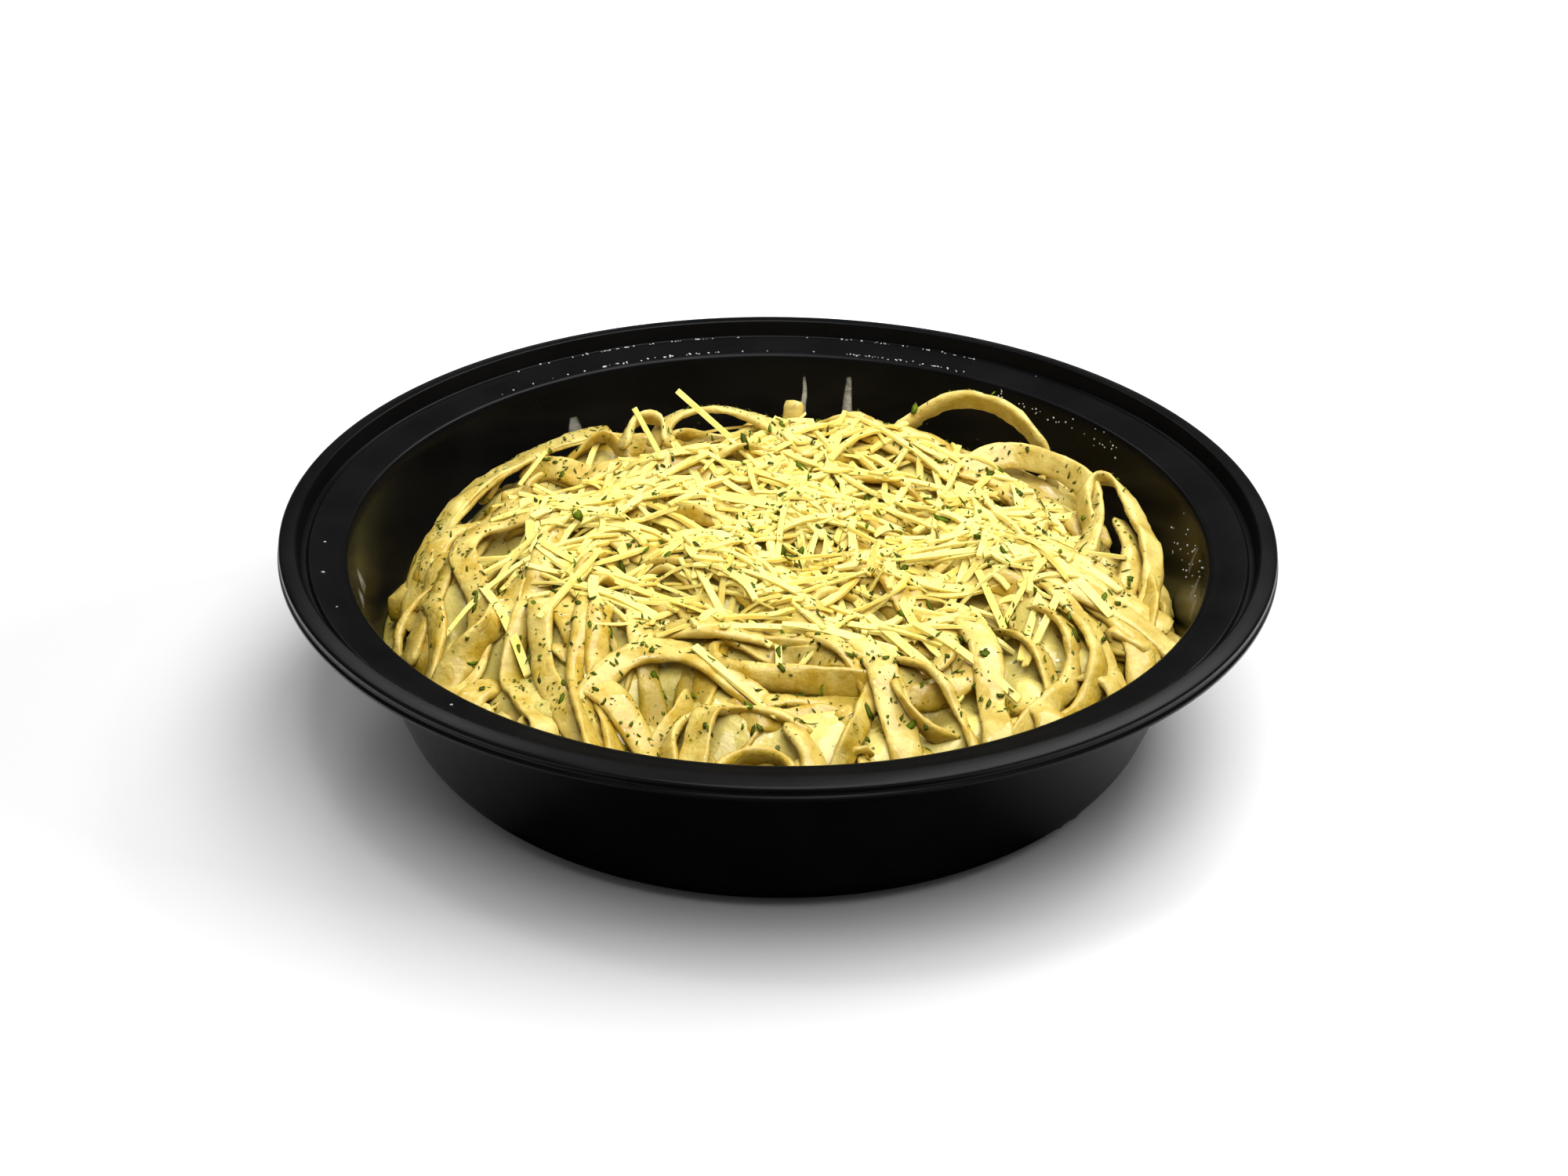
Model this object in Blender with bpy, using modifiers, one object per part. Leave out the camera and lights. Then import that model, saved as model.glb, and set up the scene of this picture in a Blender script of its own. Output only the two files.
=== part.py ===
"""Fettuccine alfredo in a round black takeaway bowl.

Four solids, in metres, +Z up, the origin at the middle of the underside:
  bowl             a thin moulded shell with a flange, a lid groove and a stepped lip
  alfredo_sauce    the cream sauce that fills the bowl's bottom up to its level
  fettuccine       the heap of coated noodles, out to its uneven outline
  shredded_cheese  the loose layer of cheese on top of the heap
"""
import math

import bmesh
import bpy

MM = 0.001

# ---- driving sizes of the bowl ----
OUTER_RADIUS = 114.5 * MM
BOWL_HEIGHT = 52.0 * MM
WALL = 0.9 * MM
BASE_RADIUS = 72.9 * MM
CORNER_RADIUS = 16.7 * MM
FOOT_WIDTH = 9.0 * MM
FOOT_DEPTH = 0.8 * MM
WALL_LEAN = 17.5
WALL_TOP_RADIUS = 100.0 * MM
WALL_BULGE = 0.8 * MM
FLANGE_INNER_RADIUS = 101.1 * MM
FLANGE_INNER_HEIGHT = BOWL_HEIGHT - 4.5 * MM
FLANGE_OUTER_RADIUS = 107.5 * MM
FLANGE_OUTER_HEIGHT = BOWL_HEIGHT - 3.6 * MM
GROOVE_WIDTH = 1.6 * MM
GROOVE_DEPTH = 0.8 * MM
LIP_INNER_RADIUS = 110.0 * MM
LIP_FALL = 0.7 * MM
LIP_ROUND = 1.1 * MM
SKIRT_HEIGHT = 2.6 * MM
BOWL_STEPS = 60

# ---- driving sizes of the food ----
GAP = 0.3 * MM
SAUCE_LEVEL = 30.0 * MM
HEAP_RADIUS = 88.5 * MM
HEAP_WAVE = 1.4 * MM
HEAP_CROWN = 52.0 * MM
HEAP_SHOULDER = 36.5 * MM
HEAP_SPOKES = 64
HEAP_TOP_RINGS = 15
HEAP_SIDE_RINGS = 2
HEAP_BASE_RINGS = 2
FOLD_HEIGHT = 1.3 * MM
FOLD_SPACING = 19.0 * MM
CHEESE_HALF_WIDTH = 63.0 * MM
CHEESE_HALF_DEPTH = 50.0 * MM
CHEESE_FORWARD = 5.0 * MM
CHEESE_THICKNESS = 3.0 * MM
CHEESE_RINGS = 7
CHEESE_LUMP = 4.0 * MM

# Loops of noodle that stand proud: middle x, y, ring radius and rise.
STANDING_LOOPS = (
    (44.0 * MM, 56.0 * MM, 12.0 * MM, 10.0 * MM),
    (74.0 * MM, 14.0 * MM, 10.0 * MM, 6.0 * MM),
    (-20.0 * MM, 50.0 * MM, 15.0 * MM, 3.0 * MM),
    (6.0 * MM, -62.0 * MM, 14.0 * MM, 3.0 * MM),
    (-66.0 * MM, 6.0 * MM, 16.0 * MM, 3.0 * MM),
)
LOOP_WIDTH = 6.0 * MM

# Bundles of noodle that sweep in arcs: middle x, y of the arcs and reach of the bundle.
SWEPT_BUNDLES = (
    (-95.0 * MM, -60.0 * MM, 55.0 * MM),
    (90.0 * MM, -75.0 * MM, 60.0 * MM),
    (-30.0 * MM, 95.0 * MM, 50.0 * MM),
    (95.0 * MM, 45.0 * MM, 45.0 * MM),
)
BUNDLE_HEIGHT = 2.0 * MM
BUNDLE_SPACING = 15.0 * MM

# ---- finishes: colour, roughness, metallic ----
FINISHES = {
    "bowl": ((0.012, 0.012, 0.014, 1.0), 0.32, 0.0),
    "alfredo_sauce": ((0.72, 0.64, 0.38, 1.0), 0.30, 0.0),
    "fettuccine": ((0.83, 0.68, 0.33, 1.0), 0.38, 0.0),
    "shredded_cheese": ((0.90, 0.78, 0.42, 1.0), 0.48, 0.0),
}


def clear_scene():
    """Remove every object that the file opened with."""
    for item in list(bpy.data.objects):
        bpy.data.objects.remove(item, do_unlink=True)


def make_collection(name):
    """Add a collection for the object's parts to the scene."""
    collection = bpy.data.collections.new(name)
    bpy.context.scene.collection.children.link(collection)
    return collection


def make_material(name):
    """Principled material with the part's own colour, roughness and metallic value."""
    colour, roughness, metallic = FINISHES[name]
    material = bpy.data.materials.new(name + "_finish")
    material.use_nodes = True
    shader = material.node_tree.nodes["Principled BSDF"]
    shader.inputs["Base Color"].default_value = colour
    shader.inputs["Roughness"].default_value = roughness
    shader.inputs["Metallic"].default_value = metallic
    return material


def add_object(name, mesh, collection):
    """Link a mesh as the named part and give it its finish."""
    part = bpy.data.objects.new(name, mesh)
    part.data.materials.append(make_material(name))
    collection.objects.link(part)
    return part


def profile_mesh(name, points):
    """Open chain of edges in the XZ plane, for a Screw modifier to turn."""
    mesh = bpy.data.meshes.new(name)
    edges = [(i, i + 1) for i in range(len(points) - 1)]
    mesh.from_pydata([(x, 0.0, z) for x, z in points], edges, [])
    return mesh


def turn(part, steps):
    """Turn a part's profile once around the Z axis."""
    screw = part.modifiers.new("turned", "SCREW")
    screw.steps = steps
    screw.render_steps = steps
    screw.use_merge_vertices = True
    screw.merge_threshold = 0.00005
    screw.use_smooth_shade = True


def arc(centre_x, centre_z, radius, start_degrees, end_degrees, steps):
    """Points of a circular arc, both ends included."""
    points = []
    for i in range(steps + 1):
        angle = math.radians(start_degrees + (end_degrees - start_degrees) * i / steps)
        points.append((centre_x + radius * math.cos(angle), centre_z + radius * math.sin(angle)))
    return points


def inner_wall(top_height, inset, corner_steps, wall_steps):
    """Inner face from the base corner up to top_height, moved inwards by inset.

    The corner is an arc that ends where it meets the wall, which leans out by WALL_LEAN
    degrees in a line with a slight bulge.
    """
    radius = CORNER_RADIUS - WALL - inset
    points = arc(BASE_RADIUS, CORNER_RADIUS, radius, -90.0, -WALL_LEAN, corner_steps)
    low = points[-1]
    high = (WALL_TOP_RADIUS - WALL - inset, FLANGE_INNER_HEIGHT)
    for i in range(1, wall_steps + 1):
        t = i / wall_steps * (top_height - low[1]) / (high[1] - low[1])
        x = low[0] + (high[0] - low[0]) * t + WALL_BULGE * 4.0 * t * (1.0 - t)
        points.append((x, low[1] + (high[1] - low[1]) * t))
    return points


def build_bowl(collection):
    """Moulded shell: the upper face is turned, then Solidify gives it its wall."""
    foot_inner = BASE_RADIUS - FOOT_WIDTH
    points = [(0.0, WALL + FOOT_DEPTH), (foot_inner - FOOT_DEPTH, WALL + FOOT_DEPTH)]
    points.append((foot_inner, WALL))
    points += inner_wall(FLANGE_INNER_HEIGHT - 1.0 * MM, 0.0, 4, 3)
    points.append((FLANGE_INNER_RADIUS, FLANGE_INNER_HEIGHT))
    points.append((FLANGE_OUTER_RADIUS, FLANGE_OUTER_HEIGHT))
    groove_floor = FLANGE_OUTER_HEIGHT - GROOVE_DEPTH
    points.append((FLANGE_OUTER_RADIUS + 0.4 * MM, groove_floor))
    points.append((FLANGE_OUTER_RADIUS + GROOVE_WIDTH, groove_floor))
    points.append((LIP_INNER_RADIUS, BOWL_HEIGHT))
    round_x = OUTER_RADIUS - LIP_ROUND
    round_z = BOWL_HEIGHT - LIP_FALL - LIP_ROUND
    points += arc(round_x, round_z, LIP_ROUND, 80.0, 0.0, 2)
    points.append((OUTER_RADIUS, round_z - SKIRT_HEIGHT + LIP_ROUND))
    part = add_object("bowl", profile_mesh("bowl", points), collection)
    turn(part, BOWL_STEPS)
    shell = part.modifiers.new("wall", "SOLIDIFY")
    shell.thickness = WALL
    shell.offset = -1.0
    shell.use_even_offset = True
    return part


def build_sauce(collection):
    """Pool of sauce: the bowl's own inside, up to the sauce level."""
    foot_inner = BASE_RADIUS - FOOT_WIDTH
    floor = WALL + GAP
    side = [(0.0, floor + FOOT_DEPTH), (foot_inner - FOOT_DEPTH, floor + FOOT_DEPTH)]
    side.append((foot_inner, floor))
    side += inner_wall(SAUCE_LEVEL, GAP, 4, 2)
    side.append((0.0, SAUCE_LEVEL))
    side.reverse()
    part = add_object("alfredo_sauce", profile_mesh("alfredo_sauce", side), collection)
    turn(part, BOWL_STEPS)
    return part


def outline_radius(angle):
    """Heap outline: round, a little wavy, fuller at the front than at the back."""
    wave = math.sin(3.0 * angle + 0.6) + 0.6 * math.sin(7.0 * angle + 2.1)
    return HEAP_RADIUS + HEAP_WAVE * wave - 1.5 * MM * math.sin(angle)


def cheese_radius(angle):
    """Edge of the cheese: an ellipse about the heap's middle, set forward, a little ragged."""
    ragged = 1.0 + 0.03 * math.sin(5.0 * angle + 0.4) + 0.03 * math.sin(11.0 * angle)
    across = math.cos(angle) / CHEESE_HALF_WIDTH
    along = math.sin(angle) / CHEESE_HALF_DEPTH
    return ragged / math.hypot(across, along) - CHEESE_FORWARD * math.sin(angle)


def heap_height(x, y):
    """Top of the heap: a low dome with wandering folds, swept bundles and standing loops."""
    reach = math.hypot(x, y) / outline_radius(math.atan2(y, x))
    height = HEAP_CROWN - (HEAP_CROWN - HEAP_SHOULDER) * reach ** 3.0
    across = math.sin(x / FOLD_SPACING * 2.3 + 1.6 * math.sin(y / FOLD_SPACING))
    along = math.sin(y / FOLD_SPACING * 2.0 - 1.9 * math.cos(x / FOLD_SPACING * 0.8))
    height += FOLD_HEIGHT * 0.5 * (across + along)
    for middle_x, middle_y, extent in SWEPT_BUNDLES:
        away = math.hypot(x - middle_x, y - middle_y)
        strength = math.exp(-((away - extent) / extent * 1.6) ** 2)
        height += BUNDLE_HEIGHT * 0.5 * strength * math.sin(2.0 * math.pi * away / BUNDLE_SPACING)
    for loop_x, loop_y, ring, rise in STANDING_LOOPS:
        away = math.hypot(x - loop_x, y - loop_y) - ring
        inside = 0.35 if away < 0.0 else 1.0
        height += rise * math.exp(-inside * (away / LOOP_WIDTH) ** 2)
    return height


def ring_point(ring, spoke):
    """Place of one grid point of the heap's top, seen from above.

    The rings up to CHEESE_RINGS lie inside the cheese's edge, and the rest run on to the
    heap's own outline, so that the cheese's underside follows the same facets.
    """
    angle = 2.0 * math.pi * spoke / HEAP_SPOKES
    edge = cheese_radius(angle)
    if ring <= CHEESE_RINGS:
        radius = edge * ring / CHEESE_RINGS
    else:
        share = (ring - CHEESE_RINGS) / (HEAP_TOP_RINGS - CHEESE_RINGS)
        radius = edge + (outline_radius(angle) - edge) * share
    return radius * math.cos(angle), radius * math.sin(angle)


def shaped_sphere(name, rings, place):
    """UV sphere whose rings and spokes are each moved to place(ring, spoke).

    Ring 0 is the top pole and ring `rings` is the bottom pole. Every quad is split along
    its shorter diagonal, so that facing surfaces of two parts split alike.
    """
    shape = bmesh.new()
    bmesh.ops.create_uvsphere(shape, u_segments=HEAP_SPOKES, v_segments=rings, radius=1.0)
    for vertex in shape.verts:
        ring = round(math.acos(max(-1.0, min(1.0, vertex.co.z))) / math.pi * rings)
        turned = math.atan2(vertex.co.y, vertex.co.x) / (2.0 * math.pi)
        vertex.co = place(ring, round(turned * HEAP_SPOKES) % HEAP_SPOKES)
    bmesh.ops.triangulate(shape, faces=shape.faces[:], quad_method="SHORT_EDGE")
    mesh = bpy.data.meshes.new(name)
    shape.to_mesh(mesh)
    shape.free()
    mesh.shade_smooth()
    mesh.set_sharp_from_angle(angle=math.radians(50.0))
    return mesh


def build_heap(collection):
    """Heap of noodles: uneven top, steep side, flat underside just above the sauce."""
    side_end = HEAP_TOP_RINGS + HEAP_SIDE_RINGS
    rings = side_end + HEAP_BASE_RINGS
    underside = SAUCE_LEVEL + GAP

    def place(ring, spoke):
        """Place of a heap point: top, then side, then underside."""
        if ring <= HEAP_TOP_RINGS:
            x, y = ring_point(ring, spoke)
            return x, y, heap_height(x, y)
        x, y = ring_point(HEAP_TOP_RINGS, spoke)
        top = heap_height(x, y)
        if ring <= side_end:
            share = (ring - HEAP_TOP_RINGS) / HEAP_SIDE_RINGS
            bulge = 1.0 + 0.012 * math.sin(math.pi * share)
            return x * bulge, y * bulge, top + (underside - top) * share
        share = 1.0 - (ring - side_end) / HEAP_BASE_RINGS
        return x * share, y * share, underside

    mesh = shaped_sphere("fettuccine", rings, place)
    return add_object("fettuccine", mesh, collection)


def cheese_depth(ring, x, y):
    """Depth of the cheese: full in the middle, lumpy, nothing at its edge."""
    lump = math.sin(x / CHEESE_LUMP) * math.sin(y / CHEESE_LUMP + 1.0)
    return CHEESE_THICKNESS * (0.75 + 0.25 * lump) * (1.0 - (ring / CHEESE_RINGS) ** 4.0)


def build_cheese(collection):
    """Layer of shredded cheese that lies a gap above the heap."""
    def place(ring, spoke):
        """Place of a cheese point: the upper rings on top, the rest mirrored below."""
        if ring <= CHEESE_RINGS:
            x, y = ring_point(ring, spoke)
            return x, y, heap_height(x, y) + GAP + cheese_depth(ring, x, y)
        x, y = ring_point(2 * CHEESE_RINGS - ring, spoke)
        return x, y, heap_height(x, y) + GAP

    mesh = shaped_sphere("shredded_cheese", 2 * CHEESE_RINGS, place)
    return add_object("shredded_cheese", mesh, collection)


def main():
    """Build the bowl and its food."""
    clear_scene()
    collection = make_collection("fettuccine_alfredo")
    build_bowl(collection)
    build_sauce(collection)
    build_heap(collection)
    build_cheese(collection)


main()
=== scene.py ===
"""Fettuccine alfredo in its black takeaway bowl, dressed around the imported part.

Shapes are worked out in millimetres, +Z up and -Y towards the front, and become metres when
they are put into a mesh.
"""
import logging
import math
from dataclasses import dataclass, field
from enum import Enum
from typing import Any, Optional

import bpy
import numpy as np
from mathutils import Matrix, Vector


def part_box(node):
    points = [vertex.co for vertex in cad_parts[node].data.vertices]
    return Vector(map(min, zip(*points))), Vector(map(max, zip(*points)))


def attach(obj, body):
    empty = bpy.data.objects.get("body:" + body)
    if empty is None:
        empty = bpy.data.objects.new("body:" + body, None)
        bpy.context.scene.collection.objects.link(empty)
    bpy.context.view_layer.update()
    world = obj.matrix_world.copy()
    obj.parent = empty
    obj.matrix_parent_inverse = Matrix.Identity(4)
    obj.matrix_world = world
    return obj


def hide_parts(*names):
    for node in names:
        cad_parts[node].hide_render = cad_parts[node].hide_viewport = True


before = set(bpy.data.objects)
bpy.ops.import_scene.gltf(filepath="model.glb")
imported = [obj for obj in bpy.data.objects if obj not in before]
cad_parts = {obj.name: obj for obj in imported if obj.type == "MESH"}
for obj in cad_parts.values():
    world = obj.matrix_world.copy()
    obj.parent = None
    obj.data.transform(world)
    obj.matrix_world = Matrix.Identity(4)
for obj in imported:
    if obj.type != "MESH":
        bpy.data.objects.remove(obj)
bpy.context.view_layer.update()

Array = np.ndarray
MM = 0.001
log = logging.getLogger("fettuccine_alfredo")


# ------------------------------------------------------------------ numbers and shapes

def wander(points: Array, scale: float, seed: int, waves: int = 22) -> Array:
    """Smooth wandering value, about -2 to 2, at each point.

    Formula: the sum of sine waves of random direction, length near `scale` and phase.

    Args:
        points: places, one row each.
        scale: usual distance between two crests, in the unit of the points.
        seed: which pattern.
        waves: number of sine waves.

    Returns:
        One value for each row.
    """
    rng = np.random.default_rng(seed)
    heading = rng.normal(size=(waves, points.shape[-1]))
    heading /= np.linalg.norm(heading, axis=1, keepdims=True)
    heading *= (2.0 * math.pi / scale * rng.uniform(0.55, 1.5, waves))[:, None]
    phase = rng.uniform(0.0, 2.0 * math.pi, waves)
    return np.sin(points @ heading.T + phase).sum(-1) * math.sqrt(2.0 / waves)


def ease(value: Array) -> Array:
    """Smooth step from 0 to 1: 3t^2 - 2t^3 of the value held between 0 and 1."""
    held = np.clip(value, 0.0, 1.0)
    return held * held * (3.0 - 2.0 * held)


def soften(values: Array, rounds: int) -> Array:
    """Running mean along the first axis: each round mixes every value with its neighbours."""
    out = np.array(values, float)
    for _ in range(rounds):
        mid = 0.25 * out[:-2] + 0.5 * out[1:-1] + 0.25 * out[2:]
        out = np.concatenate([out[:1] * 0.5 + out[1:2] * 0.5, mid, out[-1:] * 0.5 + out[-2:-1] * 0.5])
    return out


def spline(knots: Array, step: float) -> Array:
    """Natural cubic spline through the knots, sampled evenly.

    Formula: on each axis the second derivatives solve the usual three-term system, with the
    distance along the chords as the parameter.

    Args:
        knots: rows of coordinates, at least two.
        step: distance between samples, in mm.

    Returns:
        Rows of coordinates, first and last knots included.
    """
    gaps = np.linalg.norm(np.diff(knots[:, :2], axis=0), axis=1) + 1e-6
    at = np.concatenate([[0.0], np.cumsum(gaps)])
    count = len(knots)
    system = np.eye(count)
    right = np.zeros_like(knots)
    for i in range(1, count - 1):
        system[i, i - 1:i + 2] = (gaps[i - 1], 2.0 * (gaps[i - 1] + gaps[i]), gaps[i])
        right[i] = 6.0 * ((knots[i + 1] - knots[i]) / gaps[i] - (knots[i] - knots[i - 1]) / gaps[i - 1])
    bend = np.linalg.solve(system, right)
    place = np.linspace(0.0, at[-1], max(int(round(at[-1] / step)), 4) + 1)
    piece = np.clip(np.searchsorted(at, place, side="right") - 1, 0, count - 2)
    gap = gaps[piece][:, None]
    ahead = (at[piece + 1] - place)[:, None]
    behind = (place - at[piece])[:, None]
    out = (bend[piece] * ahead ** 3 + bend[piece + 1] * behind ** 3) / (6.0 * gap)
    out += (knots[piece] / gap - bend[piece] * gap / 6.0) * ahead
    out += (knots[piece + 1] / gap - bend[piece + 1] * gap / 6.0) * behind
    return out


def even(path: Array, step: float) -> Array:
    """The same path with its points moved to even distances of about `step` mm."""
    run = np.concatenate([[0.0], np.cumsum(np.linalg.norm(np.diff(path, axis=0), axis=1))])
    place = np.linspace(0.0, run[-1], max(int(round(run[-1] / step)), 4) + 1)
    return np.stack([np.interp(place, run, path[:, k]) for k in range(path.shape[1])], axis=1)


def ring_angles(count: int) -> Array:
    """Angles of even steps once round, from 0."""
    return np.linspace(0.0, 2.0 * math.pi, count, endpoint=False)


def polar(radius: Array, angle: Array, height: Array) -> Array:
    """Points x, y, z on a last axis, from radius, angle and height."""
    return np.stack([radius * np.cos(angle), radius * np.sin(angle), height], -1)


def rightwards(plan: Array, rounds: int = 0) -> Array:
    """Level direction to the right of travel at each point of a plan, softened `rounds` times."""
    flow = soften(np.gradient(plan, axis=0), rounds)
    flow /= np.linalg.norm(flow, axis=1, keepdims=True) + 1e-9
    return np.stack([flow[:, 1], -flow[:, 0]], 1)


def grid_faces(rows: int, columns: int, round_about: bool) -> Array:
    """Quads of a grid of points, row after row; `round_about` joins the last column to the first."""
    j = np.arange(columns if round_about else columns - 1)
    i = np.arange(rows - 1)[:, None]
    k = (j + 1) % columns
    quads = np.stack([i * columns + j, (i + 1) * columns + j, (i + 1) * columns + k, i * columns + k], -1)
    return quads.reshape(-1, 4)


@dataclass
class Shape:
    """Points, faces and named values of one piece while it is gathered, in millimetres."""

    points: list = field(default_factory=list)
    quads: list = field(default_factory=list)
    triangles: list = field(default_factory=list)
    values: dict = field(default_factory=dict)
    count: int = 0

    def add(self, points: Array, quads: Optional[Array] = None,
            triangles: Optional[Array] = None, **values: Any) -> None:
        """Add a closed body.

        Args:
            points: its points.
            quads: faces of four, counted from its own first point.
            triangles: faces of three, the same.
            values: a number or one number a point, by attribute name.
        """
        if quads is not None:
            self.quads.append(quads + self.count)
        if triangles is not None:
            self.triangles.append(triangles + self.count)
        for name, value in values.items():
            full = np.broadcast_to(np.asarray(value, float), (len(points),))
            self.values.setdefault(name, []).append(full)
        self.points.append(points)
        self.count += len(points)

    def make(self, name: str, material: bpy.types.Material) -> bpy.types.Object:
        """Put the gathered bodies into one mesh object.

        Args:
            name: the piece's name.
            material: its finish.

        Returns:
            The linked object, at the origin.
        """
        quads = np.concatenate(self.quads) if self.quads else np.zeros((0, 4), int)
        triangles = np.concatenate(self.triangles) if self.triangles else np.zeros((0, 3), int)
        corners = np.concatenate([quads.ravel(), triangles.ravel()]).astype(np.int32)
        starts = np.concatenate([np.arange(len(quads)) * 4,
                                 len(quads) * 4 + np.arange(len(triangles)) * 3]).astype(np.int32)
        mesh = bpy.data.meshes.new(name)
        mesh.vertices.add(self.count)
        mesh.vertices.foreach_set("co", (np.concatenate(self.points) * MM).astype(np.float32).ravel())
        mesh.loops.add(len(corners))
        mesh.polygons.add(len(starts))
        mesh.loops.foreach_set("vertex_index", corners)
        mesh.polygons.foreach_set("loop_start", starts)
        mesh.update(calc_edges=True)
        mesh.shade_smooth()
        for label, parts in self.values.items():
            layer = mesh.attributes.new(label, "FLOAT", "POINT")
            layer.data.foreach_set("value", np.concatenate(parts).astype(np.float32))
        mesh.materials.append(material)
        piece = bpy.data.objects.new(name, mesh)
        bpy.context.scene.collection.objects.link(piece)
        log.info("%s: %d triangles", name, 2 * len(quads) + len(triangles))
        return piece


def frames(path: Array, roll: Array) -> tuple[Array, Array, Array]:
    """Directions carried along a path.

    Formula: the right-hand direction is the level normal of the plan; up is right x tangent;
    both are then turned about the path by the roll.

    Args:
        path: points of the middle line.
        roll: turn about the path at each point, in radians; plus lifts the right-hand edge.

    Returns:
        Tangent, width direction and thickness direction at each point.
    """
    tangent = np.gradient(path, axis=0)
    tangent /= np.linalg.norm(tangent, axis=1, keepdims=True) + 1e-9
    plan = soften(tangent[:, :2], 2)
    plan /= np.linalg.norm(plan, axis=1, keepdims=True) + 1e-9
    right = np.stack([plan[:, 1], -plan[:, 0], np.zeros(len(plan))], axis=1)
    right -= tangent * (right * tangent).sum(1, keepdims=True)
    right /= np.linalg.norm(right, axis=1, keepdims=True) + 1e-9
    up = np.cross(right, tangent)
    cos, sin = np.cos(roll)[:, None], np.sin(roll)[:, None]
    return tangent, cos * right + sin * up, cos * up - sin * right


def swept_faces(rings: int, sides: int) -> tuple[Array, Array]:
    """Faces of a swept body: side quads, and a fan of triangles to a point at either end."""
    quads = grid_faces(rings, sides, True)
    j = np.arange(sides)
    k = (j + 1) % sides
    first, last = rings * sides, rings * sides + 1
    base = (rings - 1) * sides
    start = np.stack([np.full(sides, first), j, k], -1)
    end = np.stack([np.full(sides, last), base + k, base + j], -1)
    return quads, np.concatenate([start, end])


# ------------------------------------------------------------------ shader building

def feed(tree: bpy.types.NodeTree, target: bpy.types.Node, inputs: dict) -> None:
    """Link each named or numbered input to the given socket, or set it to the given value."""
    for name, value in inputs.items():
        if isinstance(value, bpy.types.NodeSocket):
            tree.links.new(value, target.inputs[name])
        else:
            target.inputs[name].default_value = value


def node(tree: bpy.types.NodeTree, kind: str, inputs: Optional[dict] = None,
         **settings: Any) -> bpy.types.Node:
    """Add a shader node.

    Args:
        tree: the tree that it goes into.
        kind: Blender's type name, without the "ShaderNode" in front.
        inputs: socket name or number to a value, or to another node's output to link.
        settings: the node's own properties.

    Returns:
        The node.
    """
    made = tree.nodes.new("ShaderNode" + kind)
    for name, value in settings.items():
        setattr(made, name, value)
    feed(tree, made, inputs or {})
    return made


def calc(tree: bpy.types.NodeTree, operation: str, *values: Any) -> bpy.types.NodeSocket:
    """Result of a Math node with the given values or sockets."""
    return node(tree, "Math", dict(enumerate(values)), operation=operation).outputs[0]


def blend(tree: bpy.types.NodeTree, factor: Any, first: Any, second: Any) -> bpy.types.NodeSocket:
    """Colour that goes from the first to the second with the factor."""
    return node(tree, "Mix", {0: factor, 6: first, 7: second}, data_type="RGBA").outputs[2]


def object_place(tree: bpy.types.NodeTree) -> bpy.types.NodeSocket:
    """Place on the object, in its own coordinates."""
    return node(tree, "TexCoord").outputs["Object"]


def attribute(tree: bpy.types.NodeTree, name: str) -> bpy.types.NodeSocket:
    """Value of one of the mesh's own attributes."""
    return node(tree, "Attribute", attribute_name=name).outputs["Fac"]


def opaque(colour: tuple[float, float, float], share: float = 1.0) -> tuple[float, ...]:
    """The colour times a share, with full alpha."""
    return (*(part * share for part in colour), 1.0)


def remap(tree: bpy.types.NodeTree, value: Any, low: float, high: float,
          to_low: float = 0.0, to_high: float = 1.0) -> bpy.types.NodeSocket:
    """Value moved from the range low..high to to_low..to_high and held there."""
    made = node(tree, "MapRange", {0: value, 1: low, 2: high, 3: to_low, 4: to_high})
    return made.outputs[0]


def new_group(name: str, inputs: dict[str, float], outputs: dict[str, str]) -> tuple:
    """Start a shader node group.

    Args:
        name: its name.
        inputs: number inputs and their default values.
        outputs: output names and socket types.

    Returns:
        The tree, its input node and its output node.
    """
    tree = bpy.data.node_groups.new(name, "ShaderNodeTree")
    for label, value in inputs.items():
        socket = tree.interface.new_socket(label, in_out="INPUT", socket_type="NodeSocketFloat")
        socket.default_value = value
    for label, kind in outputs.items():
        tree.interface.new_socket(label, in_out="OUTPUT", socket_type=kind)
    return tree, tree.nodes.new("NodeGroupInput"), tree.nodes.new("NodeGroupOutput")


def specks_group() -> bpy.types.NodeTree:
    """Group of irregular specks: the cells of a pattern whose middle is nearer than a random size."""
    tree, given, result = new_group(
        "herb_specks", {"Spacing": 3.0, "Size": 0.3, "Amount": 0.5}, {"Mask": "NodeSocketFloat"})
    place = object_place(tree)
    warp = node(tree, "TexNoise", {"Vector": place, "Scale": 1500.0, "Detail": 1.0})
    shift = node(tree, "VectorMath", {0: warp.outputs["Color"], 1: (0.6 * MM,) * 3}, operation="MULTIPLY")
    moved = node(tree, "VectorMath", {0: place, 1: shift.outputs[0]}, operation="ADD")
    scale = calc(tree, "DIVIDE", 1.0 / MM, given.outputs["Spacing"])
    cells = node(tree, "TexVoronoi", {"Vector": moved.outputs[0], "Scale": scale, "Randomness": 1.0})
    picks = node(tree, "SeparateColor", {0: cells.outputs["Color"]})
    size = calc(tree, "MULTIPLY", given.outputs["Size"], picks.outputs[1])
    size = calc(tree, "MULTIPLY", size, calc(tree, "LESS_THAN", picks.outputs[0], given.outputs["Amount"]))
    size = calc(tree, "DIVIDE", size, given.outputs["Spacing"])
    edge = calc(tree, "SUBTRACT", size, cells.outputs["Distance"])
    tree.links.new(remap(tree, edge, 0.0, 0.035), result.inputs[0])
    return tree


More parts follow.
